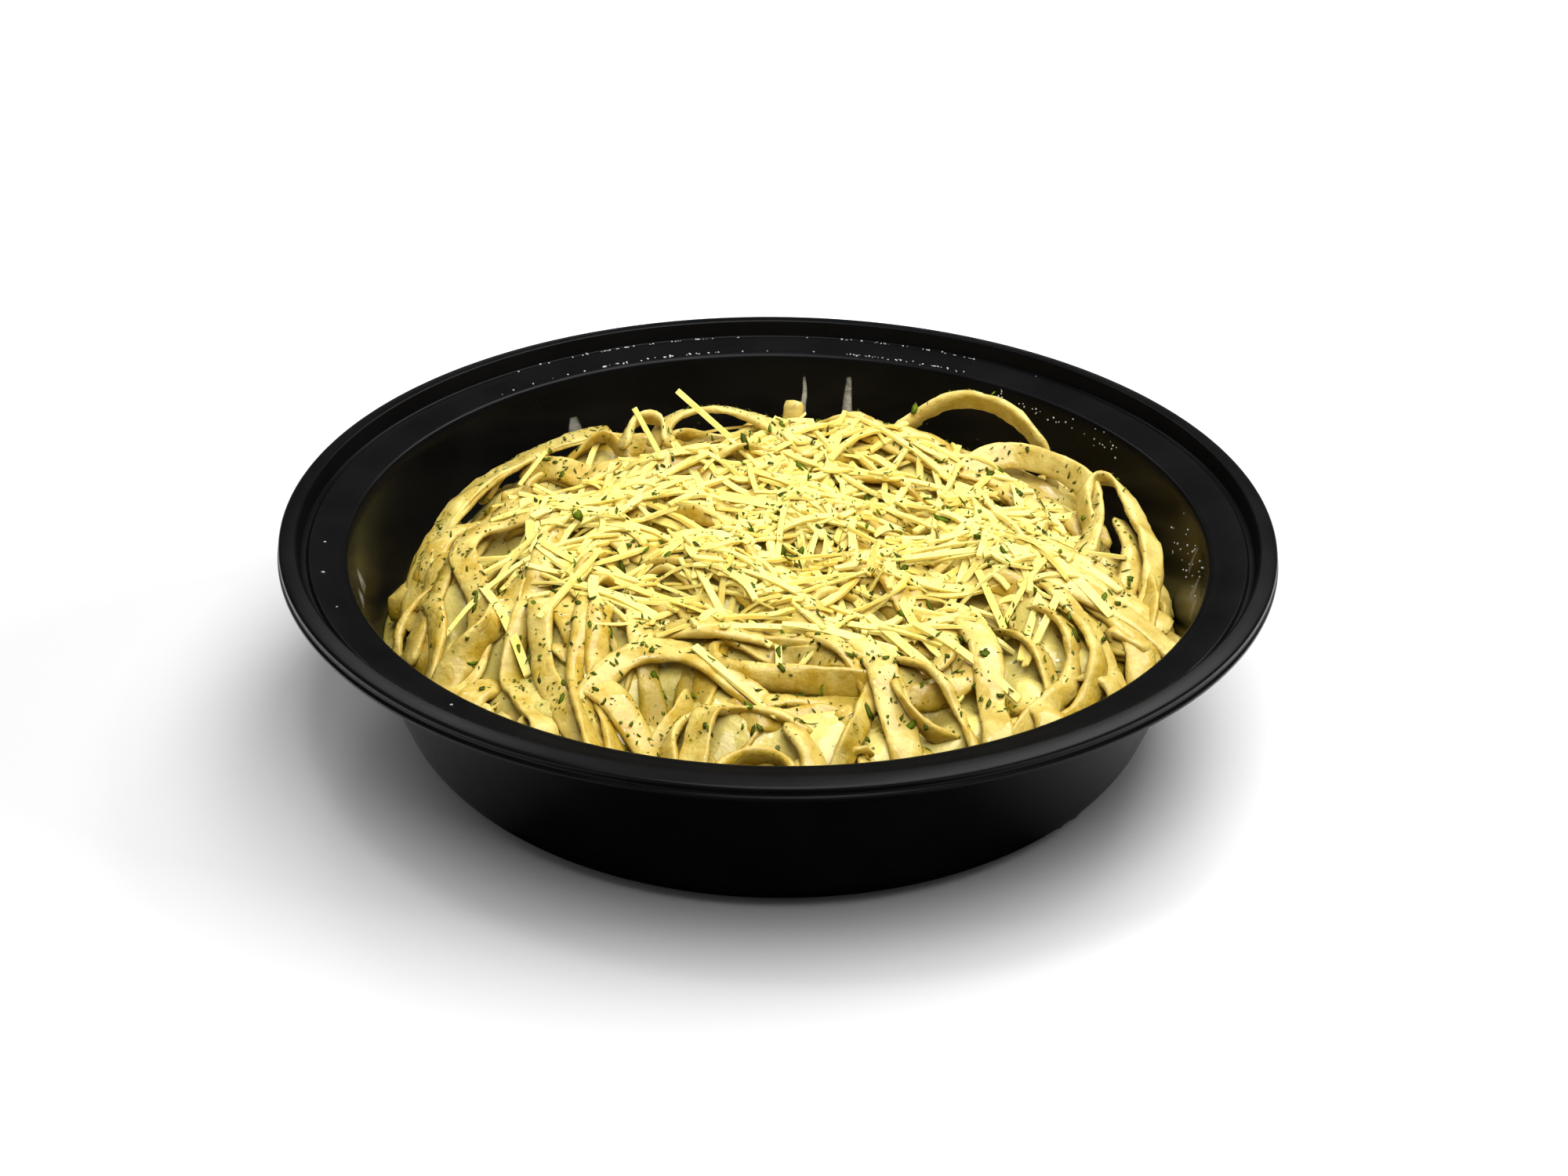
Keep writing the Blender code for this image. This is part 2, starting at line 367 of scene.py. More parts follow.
def mottle_group() -> bpy.types.NodeTree:
    """Group of cloudy variation: a broad noise for colour and a broad plus fine noise for height."""
    tree, given, result = new_group(
        "mottle", {"Broad": 12.0, "Fine": 1.5},
        {"Cloud": "NodeSocketFloat", "Grain": "NodeSocketFloat", "Height": "NodeSocketFloat"})
    place = object_place(tree)
    outs = []
    for label, detail in (("Broad", 3.0), ("Fine", 2.0)):
        scale = calc(tree, "DIVIDE", 1.0 / MM, given.outputs[label])
        outs.append(node(tree, "TexNoise", {"Vector": place, "Scale": scale, "Detail": detail}).outputs[0])
    tree.links.new(remap(tree, outs[0], 0.3, 0.7), result.inputs["Cloud"])
    tree.links.new(remap(tree, outs[1], 0.3, 0.7), result.inputs["Grain"])
    height = calc(tree, "ADD", calc(tree, "MULTIPLY", outs[0], 0.65), calc(tree, "MULTIPLY", outs[1], 0.35))
    tree.links.new(height, result.inputs["Height"])
    return tree


def mottled(tree: bpy.types.NodeTree, groups: dict[str, bpy.types.NodeTree],
            broad: float, fine: float) -> bpy.types.bpy_prop_collection:
    """Outputs Cloud, Grain and Height of the mottle group, its two sizes given in mm."""
    return node(tree, "Group", {"Broad": broad, "Fine": fine}, node_tree=groups["mottle"]).outputs


class Gloss(Enum):
    """How wet a food surface is: coat weight, coat roughness."""

    WET = (0.7, 0.06)
    MOIST = (0.6, 0.09)
    DRY = (0.0, 0.3)


def new_material(name: str) -> tuple[bpy.types.Material, bpy.types.NodeTree, bpy.types.Node]:
    """Empty material with its tree and its Principled shader."""
    material = bpy.data.materials.new(name)
    material.use_nodes = True
    tree = material.node_tree
    return material, tree, tree.nodes["Principled BSDF"]


def add_bump(tree: bpy.types.NodeTree, shader: bpy.types.Node, height: Any,
             strength: float, size_mm: float) -> None:
    """Let a height drive the shader's normal, with `size_mm` between its lowest and highest."""
    bump = node(tree, "Bump", {"Strength": strength, "Distance": size_mm * MM, "Height": height})
    tree.links.new(bump.outputs[0], shader.inputs["Normal"])


@dataclass(frozen=True)
class FoodFinish:
    """Creamy food: light and deep colours, shade in the hollows, herb specks and soft lumps.

    Sizes are in mm. The shares say how much the cloudy variation, the attribute "tone" and
    the fine grain each push the colour from light to deep, and `lighter` pulls it back.
    """

    name: str
    light: tuple[float, float, float]
    deep: tuple[float, float, float]
    shade: tuple[float, float, float]
    gloss: Gloss
    roughness: float
    specks: float
    broad: float
    fine: float
    bump: float
    bump_mm: float
    scatter: float
    speck_size: float = 0.5
    speck: tuple[float, float, float] = (0.055, 0.075, 0.018)
    speck_strength: float = 0.85
    cloud_share: float = 0.7
    tone_share: float = 0.55
    grain_share: float = 0.22
    lighter: float = 0.12

    def make(self, groups: dict[str, bpy.types.NodeTree]) -> bpy.types.Material:
        """Build the material.

        Args:
            groups: the shared node groups by name.

        Returns:
            The material; its pieces carry the attributes "depth" and "tone".
        """
        material, tree, shader = new_material(self.name)
        mottle = mottled(tree, groups, self.broad, self.fine)
        depth = attribute(tree, "depth")
        coat, coat_roughness = self.gloss.value
        wet = remap(tree, mottle["Cloud"], 0.2, 0.8, coat * 0.35, coat)
        feed(tree, shader, {
            "Base Color": self.colour(tree, groups, mottle, depth),
            "Roughness": remap(tree, mottle["Grain"], 0.0, 1.0,
                               self.roughness - 0.07, self.roughness + 0.1),
            "Coat Weight": calc(tree, "MULTIPLY", wet, remap(tree, depth, 0.0, 0.7, 1.0, 0.03)),
            "Coat Roughness": coat_roughness,
            "Specular IOR Level": 0.2,
            "Subsurface Weight": self.scatter,
            "Subsurface Radius": (1.0, 0.62, 0.25),
            "Subsurface Scale": 1.8 * MM})
        add_bump(tree, shader, mottle["Height"], self.bump, self.bump_mm)
        return material

    def colour(self, tree: bpy.types.NodeTree, groups: dict[str, bpy.types.NodeTree],
               mottle: bpy.types.bpy_prop_collection, depth: bpy.types.NodeSocket) -> bpy.types.NodeSocket:
        """Colour of the food.

        Args:
            tree: the material's tree.
            groups: the shared node groups by name.
            mottle: outputs of the mottle group.
            depth: share of painted shade, grown in hollows and, on the noodles, near the bowl's wall, 0 to
                1.

        Returns:
            The colour, herb specks included.
        """
        # on the noodles the attribute "tone" also holds painted shade on faces that turn sideways or down
        tone = calc(tree, "MULTIPLY", attribute(tree, "tone"), self.tone_share)
        mix = calc(tree, "MULTIPLY_ADD", mottle["Cloud"], self.cloud_share, tone)
        mix = calc(tree, "MULTIPLY_ADD", mottle["Grain"], self.grain_share, mix)
        mix = calc(tree, "SUBTRACT", mix, self.lighter)
        colour = blend(tree, mix, opaque(self.light), opaque(self.deep))
        # painted shade: the shade colour is mixed in by the attribute "depth", in hollows and near the
        # bowl's wall
        colour = blend(tree, depth, colour, opaque(self.shade))
        if self.specks > 0.0:
            for spacing, size, amount in ((3.2, self.speck_size, self.specks),
                                          (1.7, self.speck_size * 0.5, self.specks * 0.7)):
                marks = node(tree, "Group", {"Spacing": spacing, "Size": size, "Amount": amount},
                             node_tree=groups["herb_specks"])
                faint = calc(tree, "MULTIPLY", marks.outputs[0], self.speck_strength)
                colour = blend(tree, faint, colour, opaque(self.speck))
        return colour


@dataclass(frozen=True)
class PlasticFinish:
    """Black moulded plastic: satin outside, smoother inside, with fine moulding grain and grease."""

    name: str = "black_plastic"
    colour: tuple[float, float, float] = (0.0022, 0.0022, 0.0024)
    outside_roughness: float = 0.36
    inside_roughness: float = 0.17

    def make(self, groups: dict[str, bpy.types.NodeTree]) -> bpy.types.Material:
        """Build the material; the bowl carries the attribute "inside"."""
        material, tree, shader = new_material(self.name)
        mottle = mottled(tree, groups, 16.0, 0.45)
        rough = remap(tree, attribute(tree, "inside"), 0.0, 1.0,
                      self.outside_roughness, self.inside_roughness)
        feed(tree, shader, {
            "Base Color": blend(tree, mottle["Cloud"], opaque(self.colour), opaque(self.colour, 1.5)),
            "Roughness": calc(tree, "MULTIPLY_ADD", mottle["Cloud"], 0.05, rough),
            "Specular IOR Level": 0.085})
        add_bump(tree, shader, mottle["Grain"], 0.06, 0.05)
        return material


@dataclass(frozen=True)
class HerbFinish:
    """Dried parsley: green to nearly black, varied from flake to flake."""

    name: str = "dried_parsley"
    fresh: tuple[float, float, float] = (0.105, 0.155, 0.006)
    dark: tuple[float, float, float] = (0.036, 0.040, 0.002)

    def make(self, groups: dict[str, bpy.types.NodeTree]) -> bpy.types.Material:
        """Build the material; the flakes carry the attribute "tone"."""
        material, tree, shader = new_material(self.name)
        mottle = mottled(tree, groups, 1.2, 0.4)
        mix = calc(tree, "MULTIPLY_ADD", mottle["Cloud"], 0.4, attribute(tree, "tone"))
        feed(tree, shader, {
            "Base Color": blend(tree, mix, opaque(self.dark), opaque(self.fresh)),
            "Roughness": remap(tree, mottle["Grain"], 0.0, 1.0, 0.55, 0.75),
            "Specular IOR Level": 0.08})
        add_bump(tree, shader, mottle["Height"], 0.4, 0.15)
        return material


@dataclass(frozen=True)
class WaterFinish:
    """Clear condensation beads."""

    name: str = "condensation"
    dim: tuple[float, float, float] = (0.72, 0.74, 0.72)
    clear: tuple[float, float, float] = (0.95, 0.95, 0.94)

    def make(self, groups: dict[str, bpy.types.NodeTree]) -> bpy.types.Material:
        """Build the material."""
        material, tree, shader = new_material(self.name)
        mottle = mottled(tree, groups, 2.0, 0.4)
        feed(tree, shader, {
            "Base Color": blend(tree, mottle["Cloud"], opaque(self.dim), opaque(self.clear)),
            "Roughness": remap(tree, mottle["Grain"], 0.0, 1.0, 0.03, 0.1),
            "IOR": 1.33,
            "Alpha": 0.55})
        return material


@dataclass(frozen=True)
class SmearFinish:
    """Thin milky film of sauce dried on the plastic, thicker in streaks."""

    name: str = "sauce_film"
    colour: tuple[float, float, float] = (0.62, 0.60, 0.50)

    def make(self, groups: dict[str, bpy.types.NodeTree]) -> bpy.types.Material:
        """Build the material; the film carries the attribute "veil", 1 where it is thickest."""
        material, tree, shader = new_material(self.name)
        mottle = mottled(tree, groups, 2.6, 0.7)
        streaks = remap(tree, mottle["Cloud"], 0.1, 0.9, 0.25, 1.0)
        feed(tree, shader, {
            "Alpha": calc(tree, "MULTIPLY", attribute(tree, "veil"), streaks),
            "Base Color": blend(tree, mottle["Grain"], opaque(self.colour), opaque(self.colour, 0.75)),
            "Roughness": 0.3})
        add_bump(tree, shader, mottle["Height"], 0.3, 0.1)
        return material


NOODLE_FINISH = FoodFinish(
    name="coated_noodle", light=(0.74, 0.615, 0.20), deep=(0.46, 0.295, 0.025), shade=(0.29, 0.195, 0.010),
    gloss=Gloss.MOIST, roughness=0.38, specks=0.6, speck_size=0.55, broad=5.0, fine=1.3, bump=0.9,
    bump_mm=1.0, scatter=0.12)
SAUCE_FINISH = FoodFinish(
    name="cream_sauce", light=(0.68, 0.575, 0.17), deep=(0.51, 0.415, 0.095), shade=(0.20, 0.15, 0.012),
    gloss=Gloss.WET, roughness=0.3, specks=0.75, speck_size=0.7, broad=6.0, fine=1.5, bump=0.9, bump_mm=0.9,
    scatter=0.1)
CHEESE_FINISH = FoodFinish(
    name="shredded_cheese", light=(0.90, 0.79, 0.27), deep=(0.80, 0.61, 0.13), shade=(0.56, 0.43, 0.10),
    gloss=Gloss.DRY, roughness=0.45, specks=0.0, broad=5.0, fine=0.7, bump=0.3, bump_mm=0.3, scatter=0.3)


# ------------------------------------------------------------------ the height map

@dataclass
class HeightMap:
    """Height of the topmost surface over the bowl, on a square grid, in mm."""

    half: float = 106.0
    cell: float = 0.5
    level: Array = field(init=False)

    def __post_init__(self) -> None:
        """Make the empty grid and the places of its cells."""
        self.size = int(2 * self.half / self.cell) + 1
        self.axis = np.linspace(-self.half, self.half, self.size)
        self.x, self.y = np.meshgrid(self.axis, self.axis, indexing="ij")
        self.level = np.zeros((self.size, self.size))

    def sample(self, x: Array, y: Array, level: Optional[Array] = None) -> Array:
        """Height at any places, mixed from the four nearest cells."""
        grid = self.level if level is None else level
        u = np.clip((np.asarray(x) + self.half) / self.cell, 0.0, self.size - 1.001)
        v = np.clip((np.asarray(y) + self.half) / self.cell, 0.0, self.size - 1.001)
        i, j = u.astype(int), v.astype(int)
        a, b = u - i, v - j
        low = grid[i, j] * (1 - b) + grid[i, j + 1] * b
        return low * (1 - a) + (grid[i + 1, j] * (1 - b) + grid[i + 1, j + 1] * b) * a

    def lift(self, x: Array, y: Array, z: Array) -> None:
        """Raise the cells under the given places to at least their heights."""
        i = np.clip(np.rint((x.ravel() + self.half) / self.cell).astype(int), 0, self.size - 1)
        j = np.clip(np.rint((y.ravel() + self.half) / self.cell).astype(int), 0, self.size - 1)
        np.maximum.at(self.level, (i, j), z.ravel())

    def blurred(self, radius: float, level: Optional[Array] = None) -> Array:
        """The map after a bell-shaped blur of that radius in mm, worked out by Fourier transform."""
        grid = self.level if level is None else level
        turns = np.fft.fftfreq(self.size, self.cell)
        bell = np.exp(-2.0 * (math.pi * radius * turns) ** 2)
        return np.real(np.fft.ifft2(np.fft.fft2(grid) * bell[:, None] * bell[None, :]))

    def slope(self, x: Array, y: Array, level: Array, step: float) -> Array:
        """Rise per mm along x and along y, between places `step` mm to either side."""
        along_x = self.sample(x + step, y, level) - self.sample(x - step, y, level)
        along_y = self.sample(x, y + step, level) - self.sample(x, y - step, level)
        return np.stack([along_x, along_y], 1) / (2.0 * step)

    def wandering(self, scale: float, seed: int) -> Array:
        """Smooth wandering value at every cell."""
        return wander(np.stack([self.x.ravel(), self.y.ravel()], 1), scale, seed).reshape(self.x.shape)


# ------------------------------------------------------------------ the bowl

@dataclass
class Bowl:
    """Moulded bowl: one turned shell with a stepped lip, a lid groove and small moulded nubs."""

    steps: int = 480
    outer_radius: float = 114.5
    base_radius: float = 72.9
    corner_radius: float = 16.7
    wall: float = 0.9
    wall_lean: float = 17.5
    wall_top_radius: float = 100.0
    wall_top: float = 47.5
    bulge: float = 0.8
    nubs: tuple[tuple[float, float], ...] = ((-38.0, 4.6), (-41.0, 3.6), (-44.5, 2.6))
    nub_height: float = 0.55
    nub_half_width: float = 0.9
    rim_gloss: float = 0.35
    flange_start: float = 101.1
    flange_height: float = 47.56
    flange_rise: float = 0.14

    def wall_line(self, radius: float, top: float, inset: float, steps: int) -> Array:
        """Corner arc and leaning wall.

        Formula: an arc of `radius` about the corner's middle from straight down to where it
        meets the lean, then a straight line to the wall's top plus bulge * 4t(1 - t).

        Args:
            radius: radius of the corner arc.
            top: height at which the wall ends.
            inset: distance of this face inside the outer face.
            steps: points on each part.

        Returns:
            Rows of radius and height, from the base upwards.
        """
        turn = np.radians(np.linspace(-90.0, -self.wall_lean, steps))
        middle = np.array([self.base_radius, self.corner_radius])
        arc = middle + radius * np.stack([np.cos(turn), np.sin(turn)], 1)
        reach, low = arc[-1]
        t = np.linspace(0.0, 1.0, steps)[1:] * (top - low) / (self.wall_top - low)
        out = reach + (self.wall_top_radius - inset - reach) * t + self.bulge * 4.0 * t * (1.0 - t)
        return np.concatenate([arc, np.stack([out, low + (self.wall_top - low) * t], 1)])

    def inner_radius(self, height: Array) -> Array:
        """Radius of the inner face at the given heights."""
        line = self.wall_line(self.corner_radius - self.wall, self.wall_top, self.wall, 24)
        return np.interp(height, line[:, 1], line[:, 0])

    def flange_top(self, radius: float) -> float:
        """Height of the flange's upper face at the given radius."""
        return self.flange_height + (radius - self.flange_start) * self.flange_rise

    @staticmethod
    def rounded(corners: tuple[tuple[float, float, float], ...], steps: int = 4) -> Array:
        """Polyline whose corners are rounded.

        Formula: each corner becomes a parabola between two points at its own distance along
        the edges that meet there.

        Args:
            corners: radius, height and rounding distance of each corner.
            steps: points on each rounded corner.

        Returns:
            Rows of radius and height.
        """
        spots = np.array(corners)
        out = [spots[0, :2]]
        t = np.linspace(0.0, 1.0, steps)[:, None]
        for before, here, after in zip(spots[:-2], spots[1:-1], spots[2:]):
            back = before[:2] - here[:2]
            on = after[:2] - here[:2]
            a = here[:2] + back / np.linalg.norm(back) * min(here[2], np.linalg.norm(back) * 0.48)
            b = here[:2] + on / np.linalg.norm(on) * min(here[2], np.linalg.norm(on) * 0.48)
            out.extend((1 - t) ** 2 * a + 2 * t * (1 - t) * here[:2] + t * t * b)
        out.append(spots[-1, :2])
        return np.array(out)

    def profile(self) -> tuple[Array, Array]:
        """The shell's outline from the axis on top, round the lip, to the axis underneath.

        Returns:
            Rows of radius and height, and for each the share of "inside" gloss.
        """
        floor = np.array([[0.0, 1.7], [30.0, 1.7], [62.6, 1.7], [63.3, 1.5], [63.8, 1.0], [64.6, 0.9]])
        inner = self.wall_line(self.corner_radius - self.wall, 46.4, self.wall, 16)
        # distance in from the outer radius, height, rounding
        steps = ((15.75, 46.4, 0.0), (15.35, 47.35, 0.9), (13.4, 47.5, 0.7), (7.0, 48.4, 0.35),
                 (6.55, 47.7, 0.25), (5.2, 47.7, 0.35), (4.5, 52.0, 0.55), (0.65, 51.35, 0.5),
                 (0.3, 50.8, 0.35), (0.75, 49.6, 0.4), (0.05, 48.9, 0.25), (0.15, 48.05, 0.3),
                 (0.95, 48.05, 0.3), (1.4, 50.4, 0.5), (3.55, 51.0, 0.4), (3.9, 47.3, 0.5),
                 (4.6, 46.8, 0.3), (6.9, 46.8, 0.4), (7.5, 47.6, 0.3), (12.9, 46.7, 0.6), (14.1, 45.4, 0.8))
        rim = self.rounded(tuple((self.outer_radius - inset, height, bend)
                                 for inset, height, bend in steps))
        outer = self.wall_line(self.corner_radius, 45.4, 0.0, 22)[::-1]
        foot = np.array([[72.0, 0.0], [68.0, 0.0], [64.1, 0.0], [63.5, 0.15], [63.0, 0.7], [62.3, 0.8],
                         [30.0, 0.8], [0.0, 0.8]])
        line = np.concatenate([floor, inner[:-1], rim, outer[1:], foot])
        inside = np.concatenate([np.ones(len(floor) + len(inner) - 1), np.full(len(rim), self.rim_gloss),
                                 np.zeros(len(outer) - 1 + len(foot))])
        return line, inside

    def make(self, material: bpy.types.Material) -> bpy.types.Object:
        """Turn the outline once round the axis and press the nubs out of the outer corner."""
        line, inside = self.profile()
        turn = ring_angles(self.steps)
        radius, height, gloss = (np.repeat(row[:, None], self.steps, 1)
                                 for row in (line[1:-1, 0], line[1:-1, 1], inside[1:-1]))
        corner = (gloss == 0.0) & (radius > self.base_radius + 3.1)
        for azimuth, level in self.nubs:
            away = (turn[None, :] - math.radians(azimuth) + math.pi) % (2.0 * math.pi) - math.pi
            across = away * (self.base_radius + 11.1) / self.nub_half_width
            nub = self.nub_height * np.exp(-across ** 4 - (height - level) ** 4)
            radius = radius + np.where(corner, nub, 0.0)
        points = np.concatenate([polar(radius, turn, height).reshape(-1, 3),
                                 [[0.0, 0.0, line[0, 1]], [0.0, 0.0, line[-1, 1]]]])
        rows = len(line) - 2
        shape = Shape()
        shape.add(points, grid_faces(rows, self.steps, True), swept_faces(rows, self.steps)[1],
                  inside=np.concatenate([gloss.ravel(), [1.0, 0.0]]))
        return shape.make("takeaway_bowl", material)


# ------------------------------------------------------------------ the noodles

@dataclass(frozen=True)
class Laid:
    """A listed noodle: its plan, how it is turned, and further noodles beside it.

    Points are x, y in mm, or x, y, z where it stands free of what lies under it.
    """

    points: tuple[tuple[float, ...], ...]
    roll: tuple[float, ...] = ()
    width: float = 6.4
    beside: tuple[float, ...] = (0.0,)
    lift: float = 0.0
    tone: float = 0.35
    tips: bool = False


# Dips in the heap, where it is dark between noodles: middle x, y, reach and depth.
HOLLOWS: tuple[tuple[float, float, float, float], ...] = (
    (-29.0, -65.0, 8.0, 6.0), (-3.0, -53.5, 7.0, 4.5), (-8.0, -76.0, 6.0, 4.5), (-4.0, -86.0, 6.0, 5.0),
    (31.0, -66.0, 5.0, 6.0), (-52.0, -30.0, 5.0, 6.0), (-76.0, -39.0, 5.0, 5.0), (-66.0, -47.0, 5.0, 5.0),
    (-56.0, -50.0, 4.0, 5.0), (-37.0, 46.0, 4.0, 5.0), (57.0, -25.0, 4.0, 5.0), (81.0, 24.0, 9.0, 12.0),
    (42.0, 60.0, 15.0, 4.0), (64.0, 12.0, 8.0, 4.0), (12.0, -72.0, 10.0, 3.5), (56.0, -54.0, 6.0, 3.0))

LAID_NOODLES: tuple[Laid, ...] = (
    # left side, outer ones first
    Laid(((-58, 10), (-71, 3), (-80, -9), (-86.5, -21), (-86.5, -33), (-82, -46), (-75, -58)),
         width=6.6),
    Laid(((-84, -14, 30.0), (-83, -4, 35.6), (-81.5, 4, 38.2), (-79.5, 14, 39.6), (-76, 27, 40.6),
          (-66, 42, 42.2), (-54, 52, 44.2), (-42, 57, 45.4)), (30, 30, 28, 26, 24, 20, 14, 5),
         beside=(0.0, 6.2), tone=0.1, width=7.0),
    Laid(((-80, -6), (-78, 6), (-70, 14), (-58, 22), (-44, 26)), (30, 20, 10, 0, 0), width=6.2),
    Laid(((-62, 42), (-56, 41), (-50, 38), (-40, 34))),
    Laid(((-84, -20), (-76, -14), (-70, 0), (-64, 14), (-52, 24)), (0, 20, 30, 0)),
    Laid(((-83, -32), (-79, -22), (-75, -10), (-72, 4)), (35, 45, 60, 30), width=6.1, tone=0.5),
    Laid(((-80, -50), (-76, -38), (-77, -26), (-81, -14)), (20, 50, 50, 30), width=6.1, tone=0.5),
    Laid(((-40, 8), (-50, 5), (-60, 2), (-69, -1), (-72, -10), (-68, -22), (-66, -34), (-69, -48),
          (-76, -60)), (0, 0, -10, -20, -25, -15, 0, 10), width=7.0, lift=0.6),
    Laid(((-40, 2), (-50, -5), (-54, -17), (-59, -25), (-62, -35), (-68, -44), (-76, -52)), width=7.1),
    Laid(((-44, 4), (-50, -6), (-54, -28), (-58, -46), (-55, -58), (-50, -70), (-46, -88)),
         (0, 10, 25, 15, 0)),
    Laid(((-60, -48), (-66, -56), (-68, -66)), (10, 0), width=6.6),
    Laid(((-50, -22), (-52, -36), (-49, -58), (-41, -76), (-36, -90)), (0, -20, -30, 0)),
    Laid(((-42, -30), (-42, -45), (-43, -60), (-39, -78), (-36, -92)), (0, 40, 55, 30),
         beside=(0.0, -4.2), width=5.9, tone=0.55),
    # front
    Laid(((-33, -90, 35), (-37, -78, 38.5), (-40, -66, 41.6), (-36, -58, 44.8), (-29, -52.5, 46.4),
          (-18, -54, 46.4), (-10, -61, 44.6), (-3, -66, 42)), (-20, -40, -45, -30, -12, 0, 0, 0),
         width=6.6),
    Laid(((-42, -60), (-36, -65), (-28, -75), (-20, -90)), (0, 10, 0), width=7.3),
    Laid(((-18, -60), (-20, -66), (-24, -74), (-26, -82)), (30, 40, 20), width=5.7, tone=0.6),
    Laid(((-21, -91, 35.5), (-22.5, -81, 38.6), (-20.5, -73.5, 40.4), (-14, -70, 41.2),
          (-6, -69.4, 41.4), (2, -71, 41), (8, -74, 39.5)), (40, 55, 60, 62, 60, 50, 30), width=5.9),
    Laid(((-11, -66), (-15, -75), (-17, -84), (-18, -90)), (0, -35, -10), width=6.6),
    Laid(((-30, -43), (-18, -46), (-8, -48), (4, -46)), (0, 0), width=6.4),
    Laid(((25, -60.5, 43.2), (12, -60, 43.9), (0, -59.5, 44.2), (-8, -58.5, 44.4), (-14, -55, 44.8),
          (-14, -50.5, 45.4), (-5, -48.5, 45.6), (4, -49.5, 45.6), (12, -52, 45.2), (22, -55, 44)),
         (70, 76, 78, 76, 66, 70, 80, 82, 80, 60), width=6.4, tone=0.42),
    Laid(((22, -59), (18.5, -70), (16, -80), (11, -92)), (20, 55, 62, 40), width=5.6, tone=0.45),
    Laid(((20, -50), (23, -61), (26, -72), (30, -92)), (0, 0, -6), width=7.3, lift=0.6, tone=0.15),
    Laid(((22, -46), (27, -52), (37, -62), (42, -74), (45, -88)), (30, 62, 66, 50), width=5.6,
         tone=0.35),
    Laid(((26, -60), (27, -68), (33, -73), (39, -70)), (60, 66, 66, 40), width=4.9, tone=0.4),
    Laid(((-15, -90, 34.5), (-10, -82.5, 36.8), (-4, -79.8, 37.2), (2, -82, 36.8), (6, -90, 34.5)),
         (60, 68, 70, 68, 60), width=5.7),
    Laid(((6, -70), (4, -76), (8, -84), (6, -92)), (0, 20, 10), width=5.9),
    # right side
    Laid(((36, -30), (44, -42), (46, -60), (47, -75), (47, -88)), (0, 0, -8, 0), width=7.0, tone=0.1),
    Laid(((50, -34), (57, -46), (60, -58), (58, -74)), (20, 40, 45, 20), width=6.1, tone=0.3),
    Laid(((54, -24), (64, -30), (68, -40), (74, -53), (72, -62)), (0, 20, 10), width=6.6),
    Laid(((56, -30), (62, -38), (65, -48), (62, -57), (56, -66), (50, -76)), (20, 55, 60, 40),
         beside=(0.0, -4.6), width=5.9),
    Laid(((60, -18), (72, -28), (80, -42), (79, -52)), (0, 10, 0), width=7.0),
    Laid(((44, -10), (58, -18), (70, -22), (80, -26), (88, -29)), (0, 0), width=7.0, lift=0.8,
         tone=0.05, tips=True),
    Laid(((46, -16), (60, -22), (72, -28), (82, -34), (89, -39)), (0, 5), width=7.0, lift=0.4,
         tone=0.05, tips=True),
    Laid(((44, -14), (57, -20), (64, -32), (70, -42), (72, -50)), (0, 15, 20), width=6.4, tone=0.2),
    Laid(((52, 6), (64, -4), (76, -12), (85, -18)), (0, 0), beside=(0.0, 6.4), width=6.6, tone=0.2),
    Laid(((81, -34), (84, -22), (84, -10), (82, 4)), (30, 50, 45), width=5.7, tone=0.4),
    Laid(((66, -50), (74, -56), (72, -66), (64, -74)), (20, 40), width=6.3),
    Laid(((84, -40), (82, -52), (74, -60)), (30, 40), width=6.1),
    Laid(((52, -62), (58, -68), (56, -80)), (10, 0), width=6.6),
    # back
    Laid(((-52, 50), (-44, 52), (-36, 48), (-31, 40)), (30, 55, 50), width=5.7),
    Laid(((-50, 30), (-34, 44), (-20, 54), (-6, 60)), (0, 20), width=6.6),
    Laid(((10, 58), (24, 50), (40, 42), (56, 38), (70, 28)), (0, -10), beside=(0.0, 6.0), width=6.4),
    Laid(((-8, 66), (6, 60), (22, 58), (36, 60)), (30, 40), width=6.3),
    Laid(((36, 66), (46, 58), (56, 48), (66, 40)), (30, 40), width=6.3),
    Laid(((-72, 36), (-60, 52), (-44, 64), (-26, 72)), (30, 40), width=6.4),
    Laid(((50, 34), (58, 24), (60, 12), (58, 0)), (0, -20, -30), width=6.8),
)

STANDING_NOODLES: tuple[Laid, ...] = (
    Laid(((21, 44, 42), (26, 49, 46.8), (34, 52.5, 52.4), (43, 54, 56.4), (50, 52, 57.2),
          (57, 47.5, 55.6), (62, 42.5, 51.6), (65, 40, 47), (66.5, 36, 41)),
         (40, 52, 58, 62, 60, 60, 62, 66, 60), width=6.8, tone=-0.2),
    Laid(((-31, 50, 45), (-28, 54, 48.5), (-19, 57, 51.5), (-10, 54, 52.2), (1, 45, 51), (8, 38, 49)),
         (20, 24, 20, 5, 0), width=5.9, tone=-0.2),
    Laid(((60, -4, 42), (69, -6, 44), (73, 9, 44.5), (72.0, 17, 48.5), (75, 23.5, 50.8), (79, 22, 51),
          (82, 16, 49.6), (85.4, 3, 46.5), (85.6, -12, 42.5), (82, -24, 39)),
         (30, 50, 68, 66, 45, 30, 32, 36, 30), width=5.6, tone=-0.05),
    Laid(((80, 12, 45.5), (82, 0, 44.0), (80, -12, 42), (75, -24, 39)), (30, 34, 30), width=5.7,
         tone=-0.05),
    Laid(((44, 32, 46.5), (50, 37, 48.6), (57, 37.5, 49.6), (66, 33, 49.4), (73, 24, 48.6),
          (74, 11, 46.6), (70, -4, 45)), (-20, -50, -60, -62, -60, -50, -30), width=6.3, tone=-0.1),
    Laid(((2.5, 52, 44), (3, 54.5, 49), (3.4, 56, 54.5)), (0, 0), width=5.2, tone=-0.2),
    Laid(((-38, 47, 46), (-35, 53, 50.4), (-29, 52, 50.6), (-27, 46, 47)), (40, 60, 60, 40), width=4.7,
         tone=-0.15),
)


